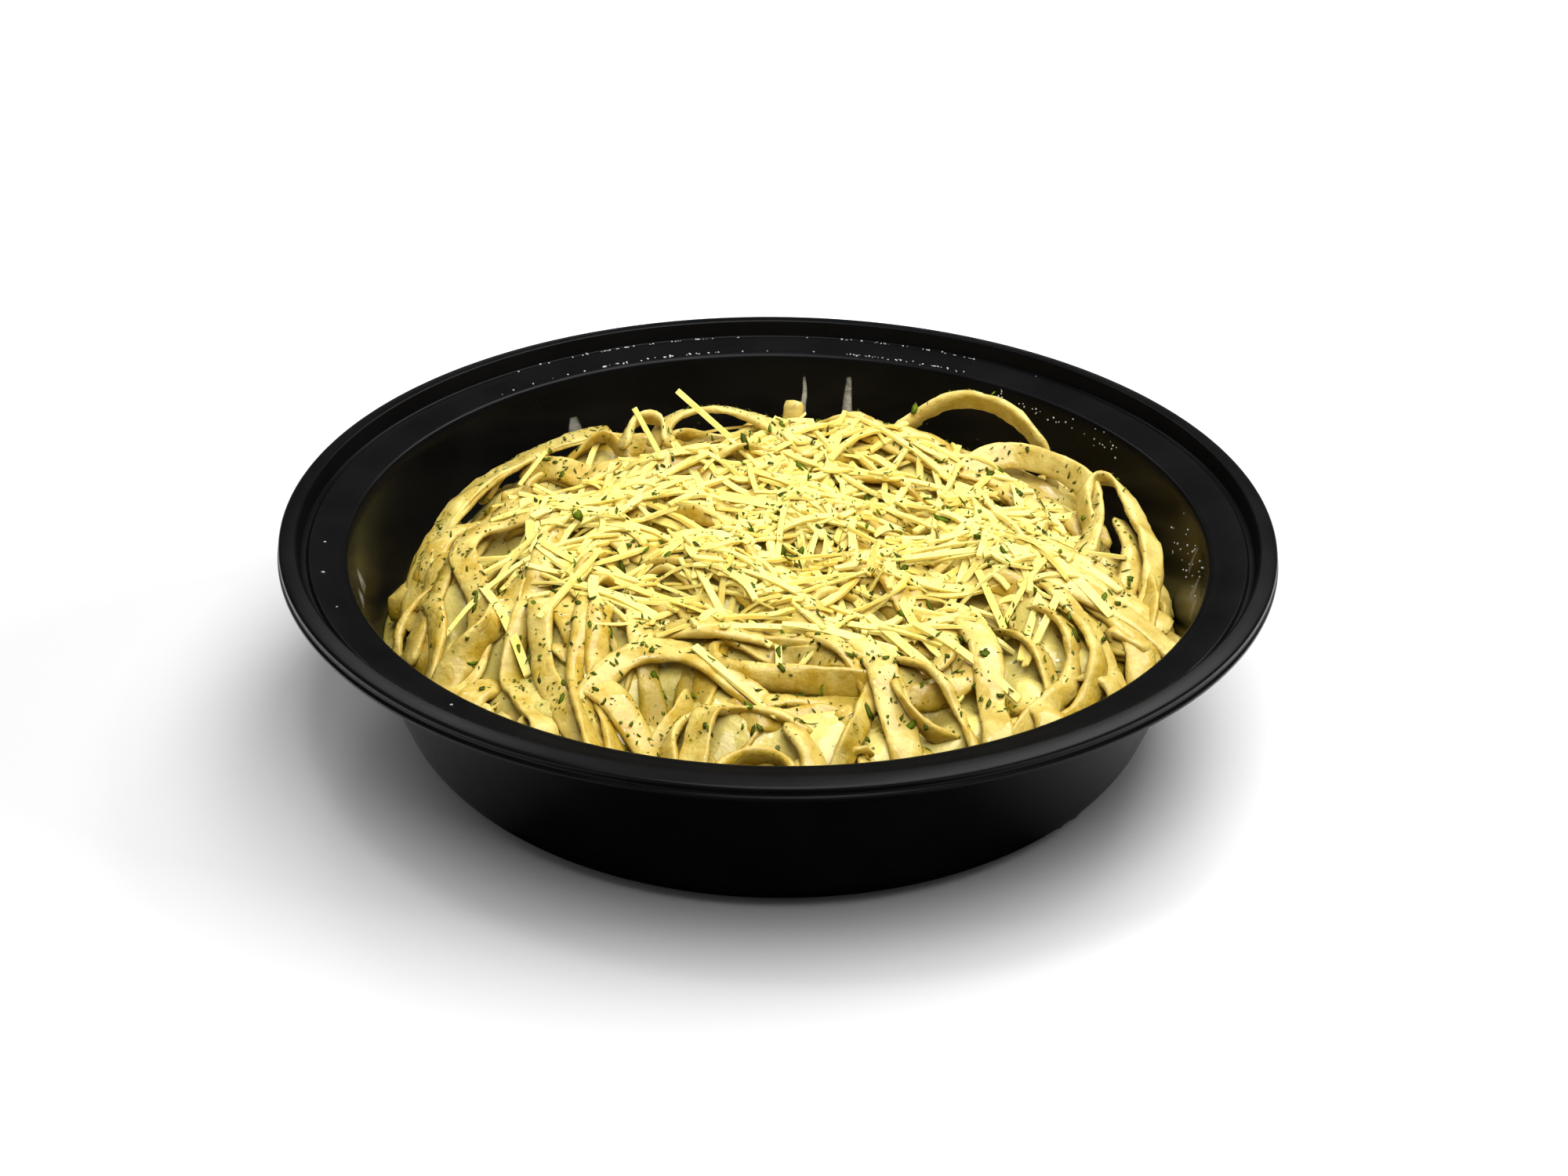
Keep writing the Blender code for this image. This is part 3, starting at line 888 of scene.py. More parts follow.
@dataclass
class Strand:
    """One settled noodle: middle line, turn, width, thickness, tone and pattern."""

    path: Array
    roll: Array
    width: float
    thick: float
    tone: float
    seed: int
    hand_laid: bool


@dataclass
class NoodleHeap:
    """Heap of coated fettuccine, laid strand on strand over a hidden core."""

    heights: HeightMap
    bowl: Bowl
    radius: float = 88.6
    forward: float = 3.5
    set_back: float = 7.0
    crown: float = 50.6
    shoulder: float = 36.0
    edge_room: float = 3.2
    ease_off: float = 12.0
    hollows: tuple[tuple[float, float, float, float], ...] = HOLLOWS
    thickness: float = 2.0
    step: float = 1.3
    sink: float = 0.35
    lowest: float = 24.0
    tuck: float = 5.5
    end_run: float = 13.0
    pile: float = 4.5
    press: float = 0.75
    pulls: int = 50
    sag: float = 0.012
    cover: float = 8.5
    filler_count: int = 190
    sides: int = 12
    end_share: float = 0.82
    wall_gap: float = 0.25
    darkest: float = 0.97
    wall_shade: float = 0.16
    strands: list[Strand] = field(default_factory=list)

    def outline(self, x: Array, y: Array) -> Array:
        """Distance of the heap's edge from the middle: further out in front, nearer at the left back."""
        reach = np.hypot(x, y) + 1e-6
        left_back = np.clip((0.6 * y - 0.8 * x) / reach, 0.0, 1.0) ** 3
        return self.radius - self.forward * y / reach - self.set_back * left_back

    def dome(self, x: Array, y: Array) -> Array:
        """Height the heap should reach.

        Formula: the crown less a fall with the cube of the reach, less a rounded dip at each
        of the hollows.
        """
        reach = np.minimum(np.hypot(x, y) / (self.outline(x, y) + 1.0), 1.12)
        height = self.crown - (self.crown - self.shoulder) * reach ** 3
        for px, py, size, depth in self.hollows:
            height = height - depth * np.exp(-(((x - px) ** 2 + (y - py) ** 2) / size ** 2) ** 2)
        return height

    def start_core(self) -> None:
        """Begin the map with the hidden core: the dome less a margin, down to the pool."""
        x, y = self.heights.x, self.heights.y
        reach = np.hypot(x, y)
        core = self.dome(x, y) - self.cover + self.heights.wandering(30.0, 3)
        edge = ease((reach - self.outline(x, y) + 7.0) / 7.0)
        self.heights.level = np.maximum(core * (1.0 - edge) + self.lowest * edge, self.lowest)

    def bank(self, plan: Array, width: float, given: Optional[Array]) -> Array:
        """Turn of a noodle: as given, or else following the slope across it, softened."""
        if given is not None:
            return given
        half = rightwards(plan) * width * 0.5
        far = self.heights.sample(*(plan + half).T)
        near = self.heights.sample(*(plan - half).T)
        return np.clip(soften(np.arctan2(far - near, width) * 0.8, 12), -0.6, 0.6)

    def settle(self, plan: Array, roll: Array, width: float, lift: float, tips: bool) -> Array:
        """Lower a noodle onto what lies under it.

        Formula: at seven points across the underside the middle line must clear the map; it
        is then pulled straight again and again between the places that hold it. The
        share `press` of what stands more than `pile` over the dome is taken off.

        Args:
            plan: x, y of the middle line.
            roll: turn about the line, in radians.
            width: the noodle's width.
            lift: added to the height, in mm.
            tips: whether its ends stay on top instead of dipping under.

        Returns:
            The middle line with its heights.
        """
        right = rightwards(plan)
        across = np.linspace(-1.0, 1.0, 7)[None, :] * width * 0.5
        lateral = across * np.cos(roll)[:, None]
        rise = across * np.sin(roll)[:, None] - 0.5 * self.thickness * np.abs(np.cos(roll))[:, None]
        x = plan[:, 0:1] + right[:, 0:1] * lateral
        y = plan[:, 1:2] + right[:, 1:2] * lateral
        need = (self.heights.sample(x, y) - rise).max(axis=1) - self.sink
        z = need.copy()
        for _ in range(self.pulls):
            z = np.maximum(need, soften(z, 1) - self.sag)
        z = soften(z, 3) + lift
        z = z - self.press * np.maximum(z - self.dome(plan[:, 0], plan[:, 1]) - self.pile, 0.0)
        if not tips:
            run = np.arange(len(z)) * self.step
            to_end = np.minimum(run, run[::-1])
            z = z - self.tuck * (1.0 - np.clip(to_end / self.end_run, 0.0, 1.0)) ** 2
        return np.concatenate([plan, z[:, None]], 1)

    def keep(self, strand: Strand) -> None:
        """Remember a noodle and raise the map to its upper faces."""
        self.strands.append(strand)
        path = even(np.concatenate([strand.path, strand.roll[:, None]], 1), 0.45)
        _, width_way, thick_way = frames(path[:, :3], path[:, 3])
        across = np.linspace(-1.0, 1.0, 21)
        edge = np.sqrt(1.0 - across ** 4)[None, :, None]
        for face in (1.0, -1.0):
            spot = path[:, None, :3] + width_way[:, None] * (across * strand.width * 0.5)[None, :, None]
            spot = spot + thick_way[:, None] * face * strand.thick * 0.5 * edge
            self.heights.lift(spot[..., 0], spot[..., 1], spot[..., 2])

    def squeeze(self, plan: Array) -> Array:
        """Hold a plan inside the heap: in the last `ease_off` mm its reach levels off."""
        reach = np.hypot(plan[..., 0], plan[..., 1]) + 1e-9
        start = self.outline(plan[..., 0], plan[..., 1]) - self.edge_room - self.ease_off
        eased = start + self.ease_off * np.tanh((reach - start) / self.ease_off)
        held = np.where(reach > start, eased, reach)
        return plan * (held / reach)[..., None]

    def wandering_plans(self, rng: np.random.Generator, count: int, length: float) -> Array:
        """Plans of noodles that wander.

        Formula: the heading is the running sum of a smooth random curvature, and the place is
        the running sum of the heading.
        """
        steps = int(length / self.step)
        start = rng.uniform(0.0, 1.0, count) ** 0.5 * 76.0
        where = rng.uniform(0.0, 2.0 * math.pi, count)
        t = np.arange(steps) * self.step
        curve = np.zeros((count, steps))
        for size, wave in ((0.020, 90.0), (0.030, 45.0), (0.018, 22.0)):
            phase = rng.uniform(0.0, 2.0 * math.pi, (count, 1))
            curve += size * rng.normal(size=(count, 1)) * np.sin(2.0 * math.pi * t / wave + phase)
        curve += rng.normal(size=(count, 1)) * 0.012
        heading = rng.uniform(0.0, 2.0 * math.pi, (count, 1)) + np.cumsum(curve, 1) * self.step
        x = start[:, None] * np.cos(where)[:, None] + np.cumsum(np.cos(heading), 1) * self.step
        y = start[:, None] * np.sin(where)[:, None] + np.cumsum(np.sin(heading), 1) * self.step
        return self.squeeze(np.stack([x, y], -1))

    def fill(self, rng: np.random.Generator) -> None:
        """Lay wandering noodles, each where the heap is lowest against the dome, half with a twin."""
        laid = 0
        while laid < self.filler_count:
            plans = self.wandering_plans(rng, 30, rng.uniform(70.0, 190.0))
            x, y = plans[:, ::3, 0], plans[:, ::3, 1]
            reach = np.hypot(x, y)
            margin = 1.4 + 2.2 * ease((reach - 46.0) / 16.0)
            short = self.dome(x, y) - margin - self.heights.sample(x, y)
            score = np.where(short > 0.0, np.minimum(short, 5.0), short * 3.0).mean(1)
            best = int(score.argmax())
            if score[best] < 0.15:
                break
            shifts = (0.0,)
            if rng.random() < 0.5:
                shifts = (0.0, rng.choice([-1.0, 1.0]) * rng.uniform(5.4, 6.6))
            for shift in shifts:
                self.lay(self.beside(plans[best], shift, laid), None, rng.uniform(5.2, 6.6), 0.0,
                         float(np.clip(rng.normal(0.4, 0.25), 0.0, 1.0)), laid + 500, False, False)
                laid += 1
        log.info("filler noodles: %d", laid)

    @staticmethod
    def beside(plan: Array, shift: float, seed: int) -> Array:
        """Plan moved sideways by a distance that wanders a little along it."""
        drift = shift * (1.0 + 0.12 * wander(plan, 40.0, seed))
        return plan + rightwards(plan, 6) * drift[:, None]

    def lay(self, plan: Array, roll: Optional[Array], width: float, lift: float,
            tone: float, seed: int, hand_laid: bool, tips: bool) -> None:
        """Settle one noodle on the heap and keep it.

        Args:
            plan: x, y of its middle line.
            roll: turn about the line in radians, or None to follow the slope.
            width: its width.
            lift: added to the height, in mm.
            tone: 0 for pale to 1 for deep.
            seed: which pattern its unevenness follows.
            hand_laid: whether it is one of the listed noodles.
            tips: whether its ends stay on top.
        """
        turn = self.bank(plan, width, roll)
        turn = turn + (0.10 if roll is not None else 0.42) * wander(plan, 34.0, seed + 7)
        path = self.settle(plan, turn, width, lift, tips)
        self.keep(Strand(path, turn, width, self.thickness, tone, seed, hand_laid))

    def lay_by_hand(self, laid: Laid, seed: int) -> None:
        """Lay one listed noodle and those beside it."""
        path = even(spline(np.array(laid.points, float), 0.6), self.step)
        for number, shift in enumerate(laid.beside):
            plan = self.beside(path[:, :2], shift, seed + number) if shift else path[:, :2]
            turn = None
            if laid.roll:
                stops = np.linspace(0.0, 1.0, len(laid.roll))
                turn = soften(np.radians(np.interp(np.linspace(0.0, 1.0, len(path)), stops, laid.roll)), 3)
            tone = laid.tone + 0.12 * number
            if path.shape[1] == 2:
                self.lay(plan, turn, laid.width, laid.lift, tone, seed * 10 + number, True, laid.tips)
            else:
                self.keep(Strand(path, turn, laid.width, self.thickness, tone, seed * 10 + number, True))

    def lay_all(self, listed: tuple[Laid, ...], first_seed: int) -> None:
        """Lay the listed noodles in order."""
        for number, laid in enumerate(listed):
            self.lay_by_hand(laid, first_seed + number)

    def section(self) -> Array:
        """Section of a coated noodle: a flattened loop, cos to the power 0.55 and sin to 0.75."""
        turn = ring_angles(self.sides) + math.pi / self.sides
        shape = np.stack([np.cos(turn), np.sin(turn)], 1)
        return np.sign(shape) * np.abs(shape) ** np.array([0.55, 0.75])

    def body(self, strand: Strand, cover: Array, shape: Shape) -> None:
        """Build one noodle's body.

        Formula: the section is carried along the middle line; its width and thickness swell
        a little along the way, its edges curl with the square of the place across, and every
        point moves outwards by a wandering amount, the lumps of sauce.

        Args:
            strand: the settled noodle.
            cover: softened top of the heap, to tell what lies in a hollow.
            shape: where the body goes.
        """
        path = even(np.concatenate([strand.path, strand.roll[:, None]], 1), self.step)
        line = path[:, :3]
        _, width_way, thick_way = frames(line, path[:, 3])
        width_way, thick_way = width_way[:, None], thick_way[:, None]
        section = self.section()
        rings = len(line)
        swell = 1.0 + 0.06 * wander(line, 24.0, strand.seed)
        thick = strand.thick * (1.0 + 0.12 * wander(line, 16.0, strand.seed + 1))
        curl = 0.45 * wander(line, 30.0, strand.seed + 2)
        end = np.ones(rings)
        end[[0, -1]] = self.end_share
        across = section[None, :, 0] * (strand.width * 0.5 * swell * end)[:, None]
        above = section[None, :, 1] * (thick * 0.5 * end)[:, None]
        above = above + curl[:, None] * (section[None, :, 0] ** 2 - 0.4)
        flat = (line[:, None] + width_way * across[..., None] + thick_way * above[..., None]).reshape(-1, 3)
        away = width_way * section[None, :, 0:1] * 0.5 + thick_way * section[None, :, 1:2]
        lumps = 0.15 * wander(flat, 7.0, 91) + 0.09 * wander(flat, 3.0, 92)
        flat = flat + away.reshape(-1, 3) * lumps[:, None]
        tips = [line[0] - (line[1] - line[0]) * 0.35, line[-1] + (line[-1] - line[-2]) * 0.35]
        flat = np.concatenate([flat, tips])
        reach = np.hypot(flat[:, 0], flat[:, 1])
        held = np.minimum(reach, self.bowl.inner_radius(flat[:, 2]) - self.wall_gap)
        flat[:, :2] *= (held / reach)[:, None]
        quads, triangles = swept_faces(rings, self.sides)
        # painted shade: faces that turn sideways or down get a deeper tone than upward faces, added to the
        # strand's own tone
        facing = (away / np.linalg.norm(away, axis=2, keepdims=True))[..., 2].ravel()
        side = np.concatenate([1.0 - np.clip(facing, 0.0, 1.0), [0.5, 0.5]])
        shape.add(flat, quads, triangles, depth=self.depth(flat, cover), tone=strand.tone + 0.7 * side)

    def depth(self, points: Array, cover: Array) -> Array:
        """Shade at each point, 0 to 1.

        Formula: it grows with how far the point lies under the softened top, and a little
        more near the bowl's wall.
        """
        hollow = self.heights.sample(points[:, 0], points[:, 1], cover) - points[:, 2]
        near_wall = ease((np.hypot(points[:, 0], points[:, 1]) - 66.0) / 18.0)
        # painted shade: darker in hollows under the softened top, and near the bowl's wall
        shade = ease((hollow + 0.2) / 3.8) * self.darkest + self.wall_shade * near_wall
        return np.minimum(shade, self.darkest)

    def seen(self, strand: Strand) -> bool:
        """Whether any of a noodle lies near the top of the heap or at its outer edge."""
        x, y, z = strand.path.T
        near = (self.heights.sample(x, y) - z < 5.5) | (np.hypot(x, y) > 78.0)
        return bool(near.mean() > 0.06)


# ------------------------------------------------------------------ the sauce

@dataclass
class Sauce:
    """Cream sauce: the pool in the bowl, risen between the noodles and in puddles on them."""

    heights: HeightMap
    bowl: Bowl
    pool: float = 22.0
    rings: int = 120
    spokes: int = 400
    wall_gap: float = 0.12
    skirt: tuple[float, float, float] = (18.0, 13.0, 9.0)
    puddles: tuple[tuple[float, float, float, float], ...] = (
        (-55.0, -62.0, 9.0, 0.0), (-76.0, 10.0, 6.0, 0.0), (8.0, -74.0, 9.0, 0.2),
        (38.0, -71.0, 6.0, -0.4), (55.0, -55.0, 5.0, 0.0), (64.0, 12.0, 7.0, -0.5),
        (-45.0, -22.0, 7.0, 0.0), (-48.0, -70.0, 8.0, 0.2), (-14.0, -66.0, 5.0, -0.8),
        (2.0, 2.0, 44.0, -1.0), (70.0, -60.0, 8.0, 0.0), (24.0, -78.0, 6.0, -0.4),
        (-74.0, -44.0, 5.0, -0.4))

    def level(self) -> Array:
        """Height of the sauce over the map's grid.

        Formula: the blurred top of the noodles less a fall, raised in each puddle towards the
        blurred top itself, and nowhere under the pool.
        """
        x, y = self.heights.x, self.heights.y
        soft = self.heights.blurred(2.6)
        broad = self.heights.blurred(5.0)
        fall = 2.9 + 1.3 * self.heights.wandering(20.0, 41)
        level = np.minimum(soft - fall * 0.7, broad - fall)
        for px, py, size, over in self.puddles:
            share = np.exp(-(((x - px) ** 2 + (y - py) ** 2) / size ** 2) ** 1.5)
            level = level + share * np.maximum(broad + over - level, 0.0)
        level = np.maximum(level, self.pool + 0.5 * self.heights.wandering(40.0, 42))
        return level + 0.12 * self.heights.wandering(6.0, 43)

    def make(self, material: bpy.types.Material, cover: Array) -> bpy.types.Object:
        """Build the closed body: a polar grid on top, and a skirt and base inside the bowl.

        Args:
            material: its finish.
            cover: softened top of the heap, to tell what lies in a hollow.

        Returns:
            The piece.
        """
        level = self.heights.blurred(0.7, self.level())
        turn = ring_angles(self.spokes)
        share = np.linspace(0.0, 1.0, self.rings + 1)[1:]
        rim = self.bowl.inner_radius(np.full(self.spokes, self.pool + 1.0)) - self.wall_gap
        radius = share[:, None] ** 0.92 * rim[None, :]
        x, y = radius * np.cos(turn), radius * np.sin(turn)
        z = self.heights.sample(x, y, level)
        edge = ease((radius - rim + 9.0) / 7.0)
        waves = wander(np.stack([x.ravel(), y.ravel()], 1), 24.0, 44).reshape(x.shape)
        z = z * (1 - edge) + edge * (self.pool + 1.0 + 0.7 * waves)
        z[-1] = np.clip(z[-1], self.pool - 0.5, self.pool + 2.6)
        radius[-1] = self.bowl.inner_radius(z[-1]) - self.wall_gap
        low_z = np.array(self.skirt)
        low_r = self.bowl.inner_radius(low_z) - np.array([self.wall_gap, self.wall_gap, 4.0])
        radius, z = (np.concatenate([top, np.repeat(low[:, None], self.spokes, 1)])
                     for top, low in ((radius, low_r), (z, low_z)))
        centre = float(self.heights.sample(np.zeros(1), np.zeros(1), level)[0])
        poles = [[0.0, 0.0, centre], [0.0, 0.0, low_z[-1]]]
        points = np.concatenate([polar(radius, turn, z).reshape(-1, 3), poles])
        rows = len(radius)
        # painted shade: sauce lying under the softened top gets the shade colour, more the deeper it lies
        hollow = self.heights.sample(points[:, 0], points[:, 1], cover) - points[:, 2]
        shape = Shape()
        shape.add(points, grid_faces(rows, self.spokes, True), swept_faces(rows, self.spokes)[1],
                  depth=ease((hollow - 1.0) / 5.5) * 0.85, tone=0.3)
        return shape.make("cream_sauce", material)


# ------------------------------------------------------------------ the toppings

@dataclass
class CheeseShreds:
    """Shredded cheese scattered over the middle of the heap, stiff shreds resting on each other.

    Each shred in `by_hand` goes from x, y to x, y, and each in `stuck` from x, y, z to x, y, z.
    """

    heights: HeightMap
    count: int = 720
    half_width: float = 67.0
    half_depth: float = 50.0
    forward: float = 1.0
    batch: int = 20
    rings: int = 8
    sides: int = 4
    stiffness: float = 0.12
    by_hand: tuple[tuple[float, float, float, float], ...] = (
        (-18.0, -53.0, 0.0, -73.0), (0.0, -43.0, 0.5, -59.0), (58.0, -30.0, 53.0, -48.0),
        (62.0, -33.0, 54.0, -50.0), (30.0, -40.0, 52.0, -62.0), (20.0, -36.0, 40.0, -60.0),
        (-66.0, -24.0, -54.0, -50.0), (-40.0, -20.0, -52.0, -42.0))
    stuck: tuple[tuple[tuple[float, ...], tuple[float, ...]], ...] = (
        ((-12, 45, 50), (-25, 50, 60)), ((-29, 36, 50), (-35, 40, 60)), ((12, 44, 49), (16, 50, 55)),
        ((-62, 26, 46), (-56, 32, 52)), ((70, -6, 47), (79, -12, 49)))

    def scatter(self, rng: np.random.Generator, count: int) -> tuple[Array, Array, Array, Array]:
        """Random middles, headings, lengths and bends; dense in the middle, mostly left to right."""
        reach = rng.uniform(0.0, 1.0, count) ** 0.62
        where = rng.uniform(0.0, 2.0 * math.pi, count)
        middle = np.stack([reach * self.half_width * np.cos(where) + 4.0,
                           reach * self.half_depth * np.sin(where) + self.forward], 1)
        heading = rng.normal(0.0, 0.62, count) - 0.25 * middle[:, 0] / self.half_width
        odd = rng.random(count) < 0.35
        heading = np.where(odd, rng.uniform(-1.57, 1.57, count), heading)
        length = np.clip(rng.lognormal(math.log(13.0), 0.75, count), 2.0, 44.0)
        return middle, heading, length, rng.normal(0.0, 0.09, count) * length

    def listed(self, rng: np.random.Generator) -> tuple[Array, Array, Array, Array]:
        """Middles, headings, lengths and bends of the listed shreds."""
        ends = np.array(self.by_hand)
        span = ends[:, 2:] - ends[:, :2]
        return ((ends[:, :2] + ends[:, 2:]) / 2.0, np.arctan2(span[:, 1], span[:, 0]),
                np.hypot(span[:, 0], span[:, 1]), rng.normal(0.0, 0.4, len(ends)))

    def drop(self, line: Array, length: Array, thick: Array) -> Array:
        """Heights of a batch of shreds.

        Formula: a parabola fitted through what lies beneath each shred, raised by a share of
        the greatest amount by which it cuts in.

        Args:
            line: x, y along each shred.
            length: each shred's length, which limits how far it bends.
            thick: each shred's thickness.

        Returns:
            A height for every point of the lines.
        """
        t = np.linspace(-1.0, 1.0, line.shape[1])
        need = self.heights.sample(line[..., 0], line[..., 1]) + thick[:, None] * 0.5
        basis = np.stack([np.ones_like(t), t, t * t - 1.0 / 3.0], 1)
        fit = need @ np.linalg.pinv(basis).T
        fit[:, 2] = np.clip(fit[:, 2], -0.16 * length, 0.08 * length)
        height = fit @ basis.T
        return height + (need - height).max(axis=1, keepdims=True) * self.stiffness

    def make(self, material: bpy.types.Material) -> bpy.types.Object:
        """Scatter, drop and build all the shreds.

        The last batch is the listed shreds.
        """
        rng = np.random.default_rng(71)
        shape = Shape()
        t = np.linspace(-1.0, 1.0, self.rings)
        for start in range(0, self.count, self.batch):
            middle, heading, length, bend = self.scatter(rng, self.batch)
            if start + self.batch >= self.count:
                middle, heading, length, bend = self.listed(rng)
            width = rng.uniform(1.3, 2.3, len(middle))
            thick = rng.uniform(0.6, 1.0, len(middle))
            along = np.stack([np.cos(heading), np.sin(heading)], 1)
            side = np.stack([-along[:, 1], along[:, 0]], 1)
            line = middle[:, None] + along[:, None] * (t[None, :, None] * length[:, None, None] * 0.5)
            line = line + side[:, None] * (bend[:, None] * (t ** 2 - 0.33)[None, :])[..., None]
            line = np.concatenate([line, self.drop(line, length, thick)[..., None]], -1)
            self.add_shreds(rng, shape, line, along, width, thick)
            self.raise_map(line, side * width[:, None] * 0.5, thick)
        self.add_standing(shape)
        piece = shape.make("shredded_cheese_topping", material)
        piece.data.shade_flat()
        return piece

    def add_shreds(self, rng: np.random.Generator, shape: Shape, line: Array, along: Array,
                   width: Array, thick: Array) -> None:
        """Build a batch of shreds.

        Formula: a section of four uneven points is carried along each bent line; it narrows
        towards both ends and turns a little along the way.

        Args:
            rng: source of the unevenness.
            shape: where the shreds go.
            line: middle line of each shred.
            along: level direction of each shred.
            width: each shred's width.
            thick: each shred's thickness.
        """
        count = len(line)
        t = np.linspace(-1.0, 1.0, self.rings)
        spin = rng.uniform(-0.5, 0.5, (count, 1)) + rng.normal(0.0, 0.35, (count, 1)) * t[None, :]
        wedge = rng.uniform(0.75, 1.0, (count, self.sides))[:, None, :]
        uneven = 1.0 + 0.05 * rng.normal(size=(count, self.rings, 1))
        taper = (1.0 - 0.12 * np.abs(t) ** 8)[None, :, None] * uneven
        angle = (ring_angles(self.sides) + math.pi / 4.0)[None, None, :]
        a = np.cos(angle) * wedge * width[:, None, None] * 0.72 * taper
        b = np.sin(angle) * wedge * thick[:, None, None] * 0.75 * taper
        cos, sin = np.cos(spin)[..., None], np.sin(spin)[..., None]
        u, v = (a * cos - b * sin)[..., None], (a * sin + b * cos)[..., None]
        level = np.zeros(count)
        across = np.stack([-along[:, 1], along[:, 0], level], 1)[:, None, None, :]
        ahead = np.stack([along[:, 0], along[:, 1], level], 1)[:, None]
        points = line[:, :, None, :] - across * u + np.array([0.0, 0.0, 1.0]) * v
        tips = line[:, [0, -1]] + ahead * np.array([-0.1, 0.1])[None, :, None]
        quads, triangles = swept_faces(self.rings, self.sides)
        for body, ends, tone in zip(points, tips, rng.uniform(0.0, 0.8, count)):
            shape.add(np.concatenate([body.reshape(-1, 3), ends]), quads, triangles, tone=tone, depth=0.0)

    def raise_map(self, line: Array, half: Array, thick: Array) -> None:
        """Raise the map to the shreds' tops, along each of four lines across the half width."""
        t = np.linspace(0.0, 1.0, self.rings)
        fine = np.linspace(0.0, 1.0, 61)
        many = np.stack([np.stack([np.interp(fine, t, path[:, c]) for c in range(3)], 1) for path in line])
        for shift in (-0.6, -0.2, 0.2, 0.6):
            self.heights.lift(many[..., 0] + half[:, None, 0] * shift,
                              many[..., 1] + half[:, None, 1] * shift,
                              many[..., 2] + thick[:, None] * 0.25)

    def add_standing(self, shape: Shape) -> None:
        """Build the shreds that stick up from the layer."""
        for number, (low, high) in enumerate(self.stuck):
            line = np.linspace(low, high, self.rings)
            _, width_way, thick_way = frames(line, np.full(self.rings, 0.3))
            angle = ring_angles(self.sides) + number
            points = line[:, None] + width_way[:, None] * (np.cos(angle) * 0.95)[None, :, None]
            points = points + thick_way[:, None] * (np.sin(angle) * 0.6)[None, :, None]
            quads, triangles = swept_faces(self.rings, self.sides)
            shape.add(np.concatenate([points.reshape(-1, 3), line[[0, -1]]]), quads, triangles,
                      tone=0.3, depth=0.0)


@dataclass
class HerbFlakes:
    """Flakes of dried parsley over everything, many small and a few leafy."""

    heights: HeightMap
    count: int = 4400
    middling: int = 290
    spread: float = 84.0
    sides: int = 6
    leafy: tuple[tuple[float, float], ...] = (
        (-30.0, -2.0), (-35.0, -17.0), (-60.0, -16.0), (-68.0, -27.0), (-79.0, -44.0), (14.0, -13.0),
        (38.0, 8.0), (34.0, -30.0), (-16.0, -34.0), (9.0, -51.0), (27.0, -52.0), (12.0, -68.0),
        (28.0, -72.0), (-18.0, -62.0), (46.0, -52.0), (-48.0, -32.0), (2.0, -18.0), (60.0, 2.0))

    def make(self, material: bpy.types.Material) -> bpy.types.Object:
        """Build the flakes.

        Formula: each is a thin lens on an uneven ring of six points, tilted to the slope of
        what it lies on.
        """
        rng = np.random.default_rng(83)
        reach = rng.uniform(0.0, 1.0, self.count) ** 0.56 * self.spread
        where = rng.uniform(0.0, 2.0 * math.pi, self.count)
        place = np.stack([reach * np.cos(where), reach * np.sin(where) * 0.97 - 2.0], 1)
        size = np.clip(rng.lognormal(math.log(0.46), 0.5, self.count), 0.15, 1.5)
        size[:self.middling] = rng.uniform(0.9, 1.75, self.middling)
        place = np.concatenate([place, np.array(self.leafy) + rng.normal(0.0, 0.6, (len(self.leafy), 2))])
        size = np.concatenate([size, rng.uniform(1.9, 2.6, len(self.leafy))])
        x, y = place.T
        count = len(size)
        slope = np.clip(self.heights.slope(x, y, self.heights.blurred(0.6), 0.6), -0.9, 0.9)
        z = self.heights.sample(x, y) + 0.05
        angle = ring_angles(self.sides)[None, :]
        ring = rng.uniform(0.55, 1.25, (count, self.sides)) * size[:, None]
        narrow = rng.uniform(0.2, 0.62, (count, 1))
        u, v = np.cos(angle) * ring, np.sin(angle) * ring * narrow
        head = rng.uniform(0.0, 2.0 * math.pi, (count, 1))
        dx, dy = u * np.cos(head) - v * np.sin(head), u * np.sin(head) + v * np.cos(head)
        tilt = slope + rng.normal(0.0, 0.22, (count, 2))
        curl = rng.normal(0.12, 0.15, (count, 1)) * (u ** 2) / size[:, None]
        dz = dx * tilt[:, 0:1] + dy * tilt[:, 1:2] + curl
        edge = np.stack([x[:, None] + dx, y[:, None] + dy, z[:, None] + dz + 0.08], -1)
        middle = np.stack([x, y, z], 1)
        thick = np.stack([np.zeros(count), np.zeros(count), 0.10 + 0.05 * size], 1)
        points = np.concatenate([edge, (middle + thick)[:, None], (middle - thick)[:, None]], 1)
        j = np.arange(self.sides)
        k = (j + 1) % self.sides
        fan = np.concatenate([np.stack([j, k, np.full_like(j, self.sides)], 1),
                              np.stack([k, j, np.full_like(j, self.sides + 1)], 1)])
        own = self.sides + 2
        triangles = (fan[None] + own * np.arange(count)[:, None, None]).reshape(-1, 3)
        shape = Shape()
        tone = rng.uniform(0.0, 1.0, count) ** 1.5
        shape.add(points.reshape(-1, 3), None, triangles, tone=np.repeat(tone, own))
        return shape.make("parsley_flakes", material)


# ------------------------------------------------------------------ wet marks on the bowl

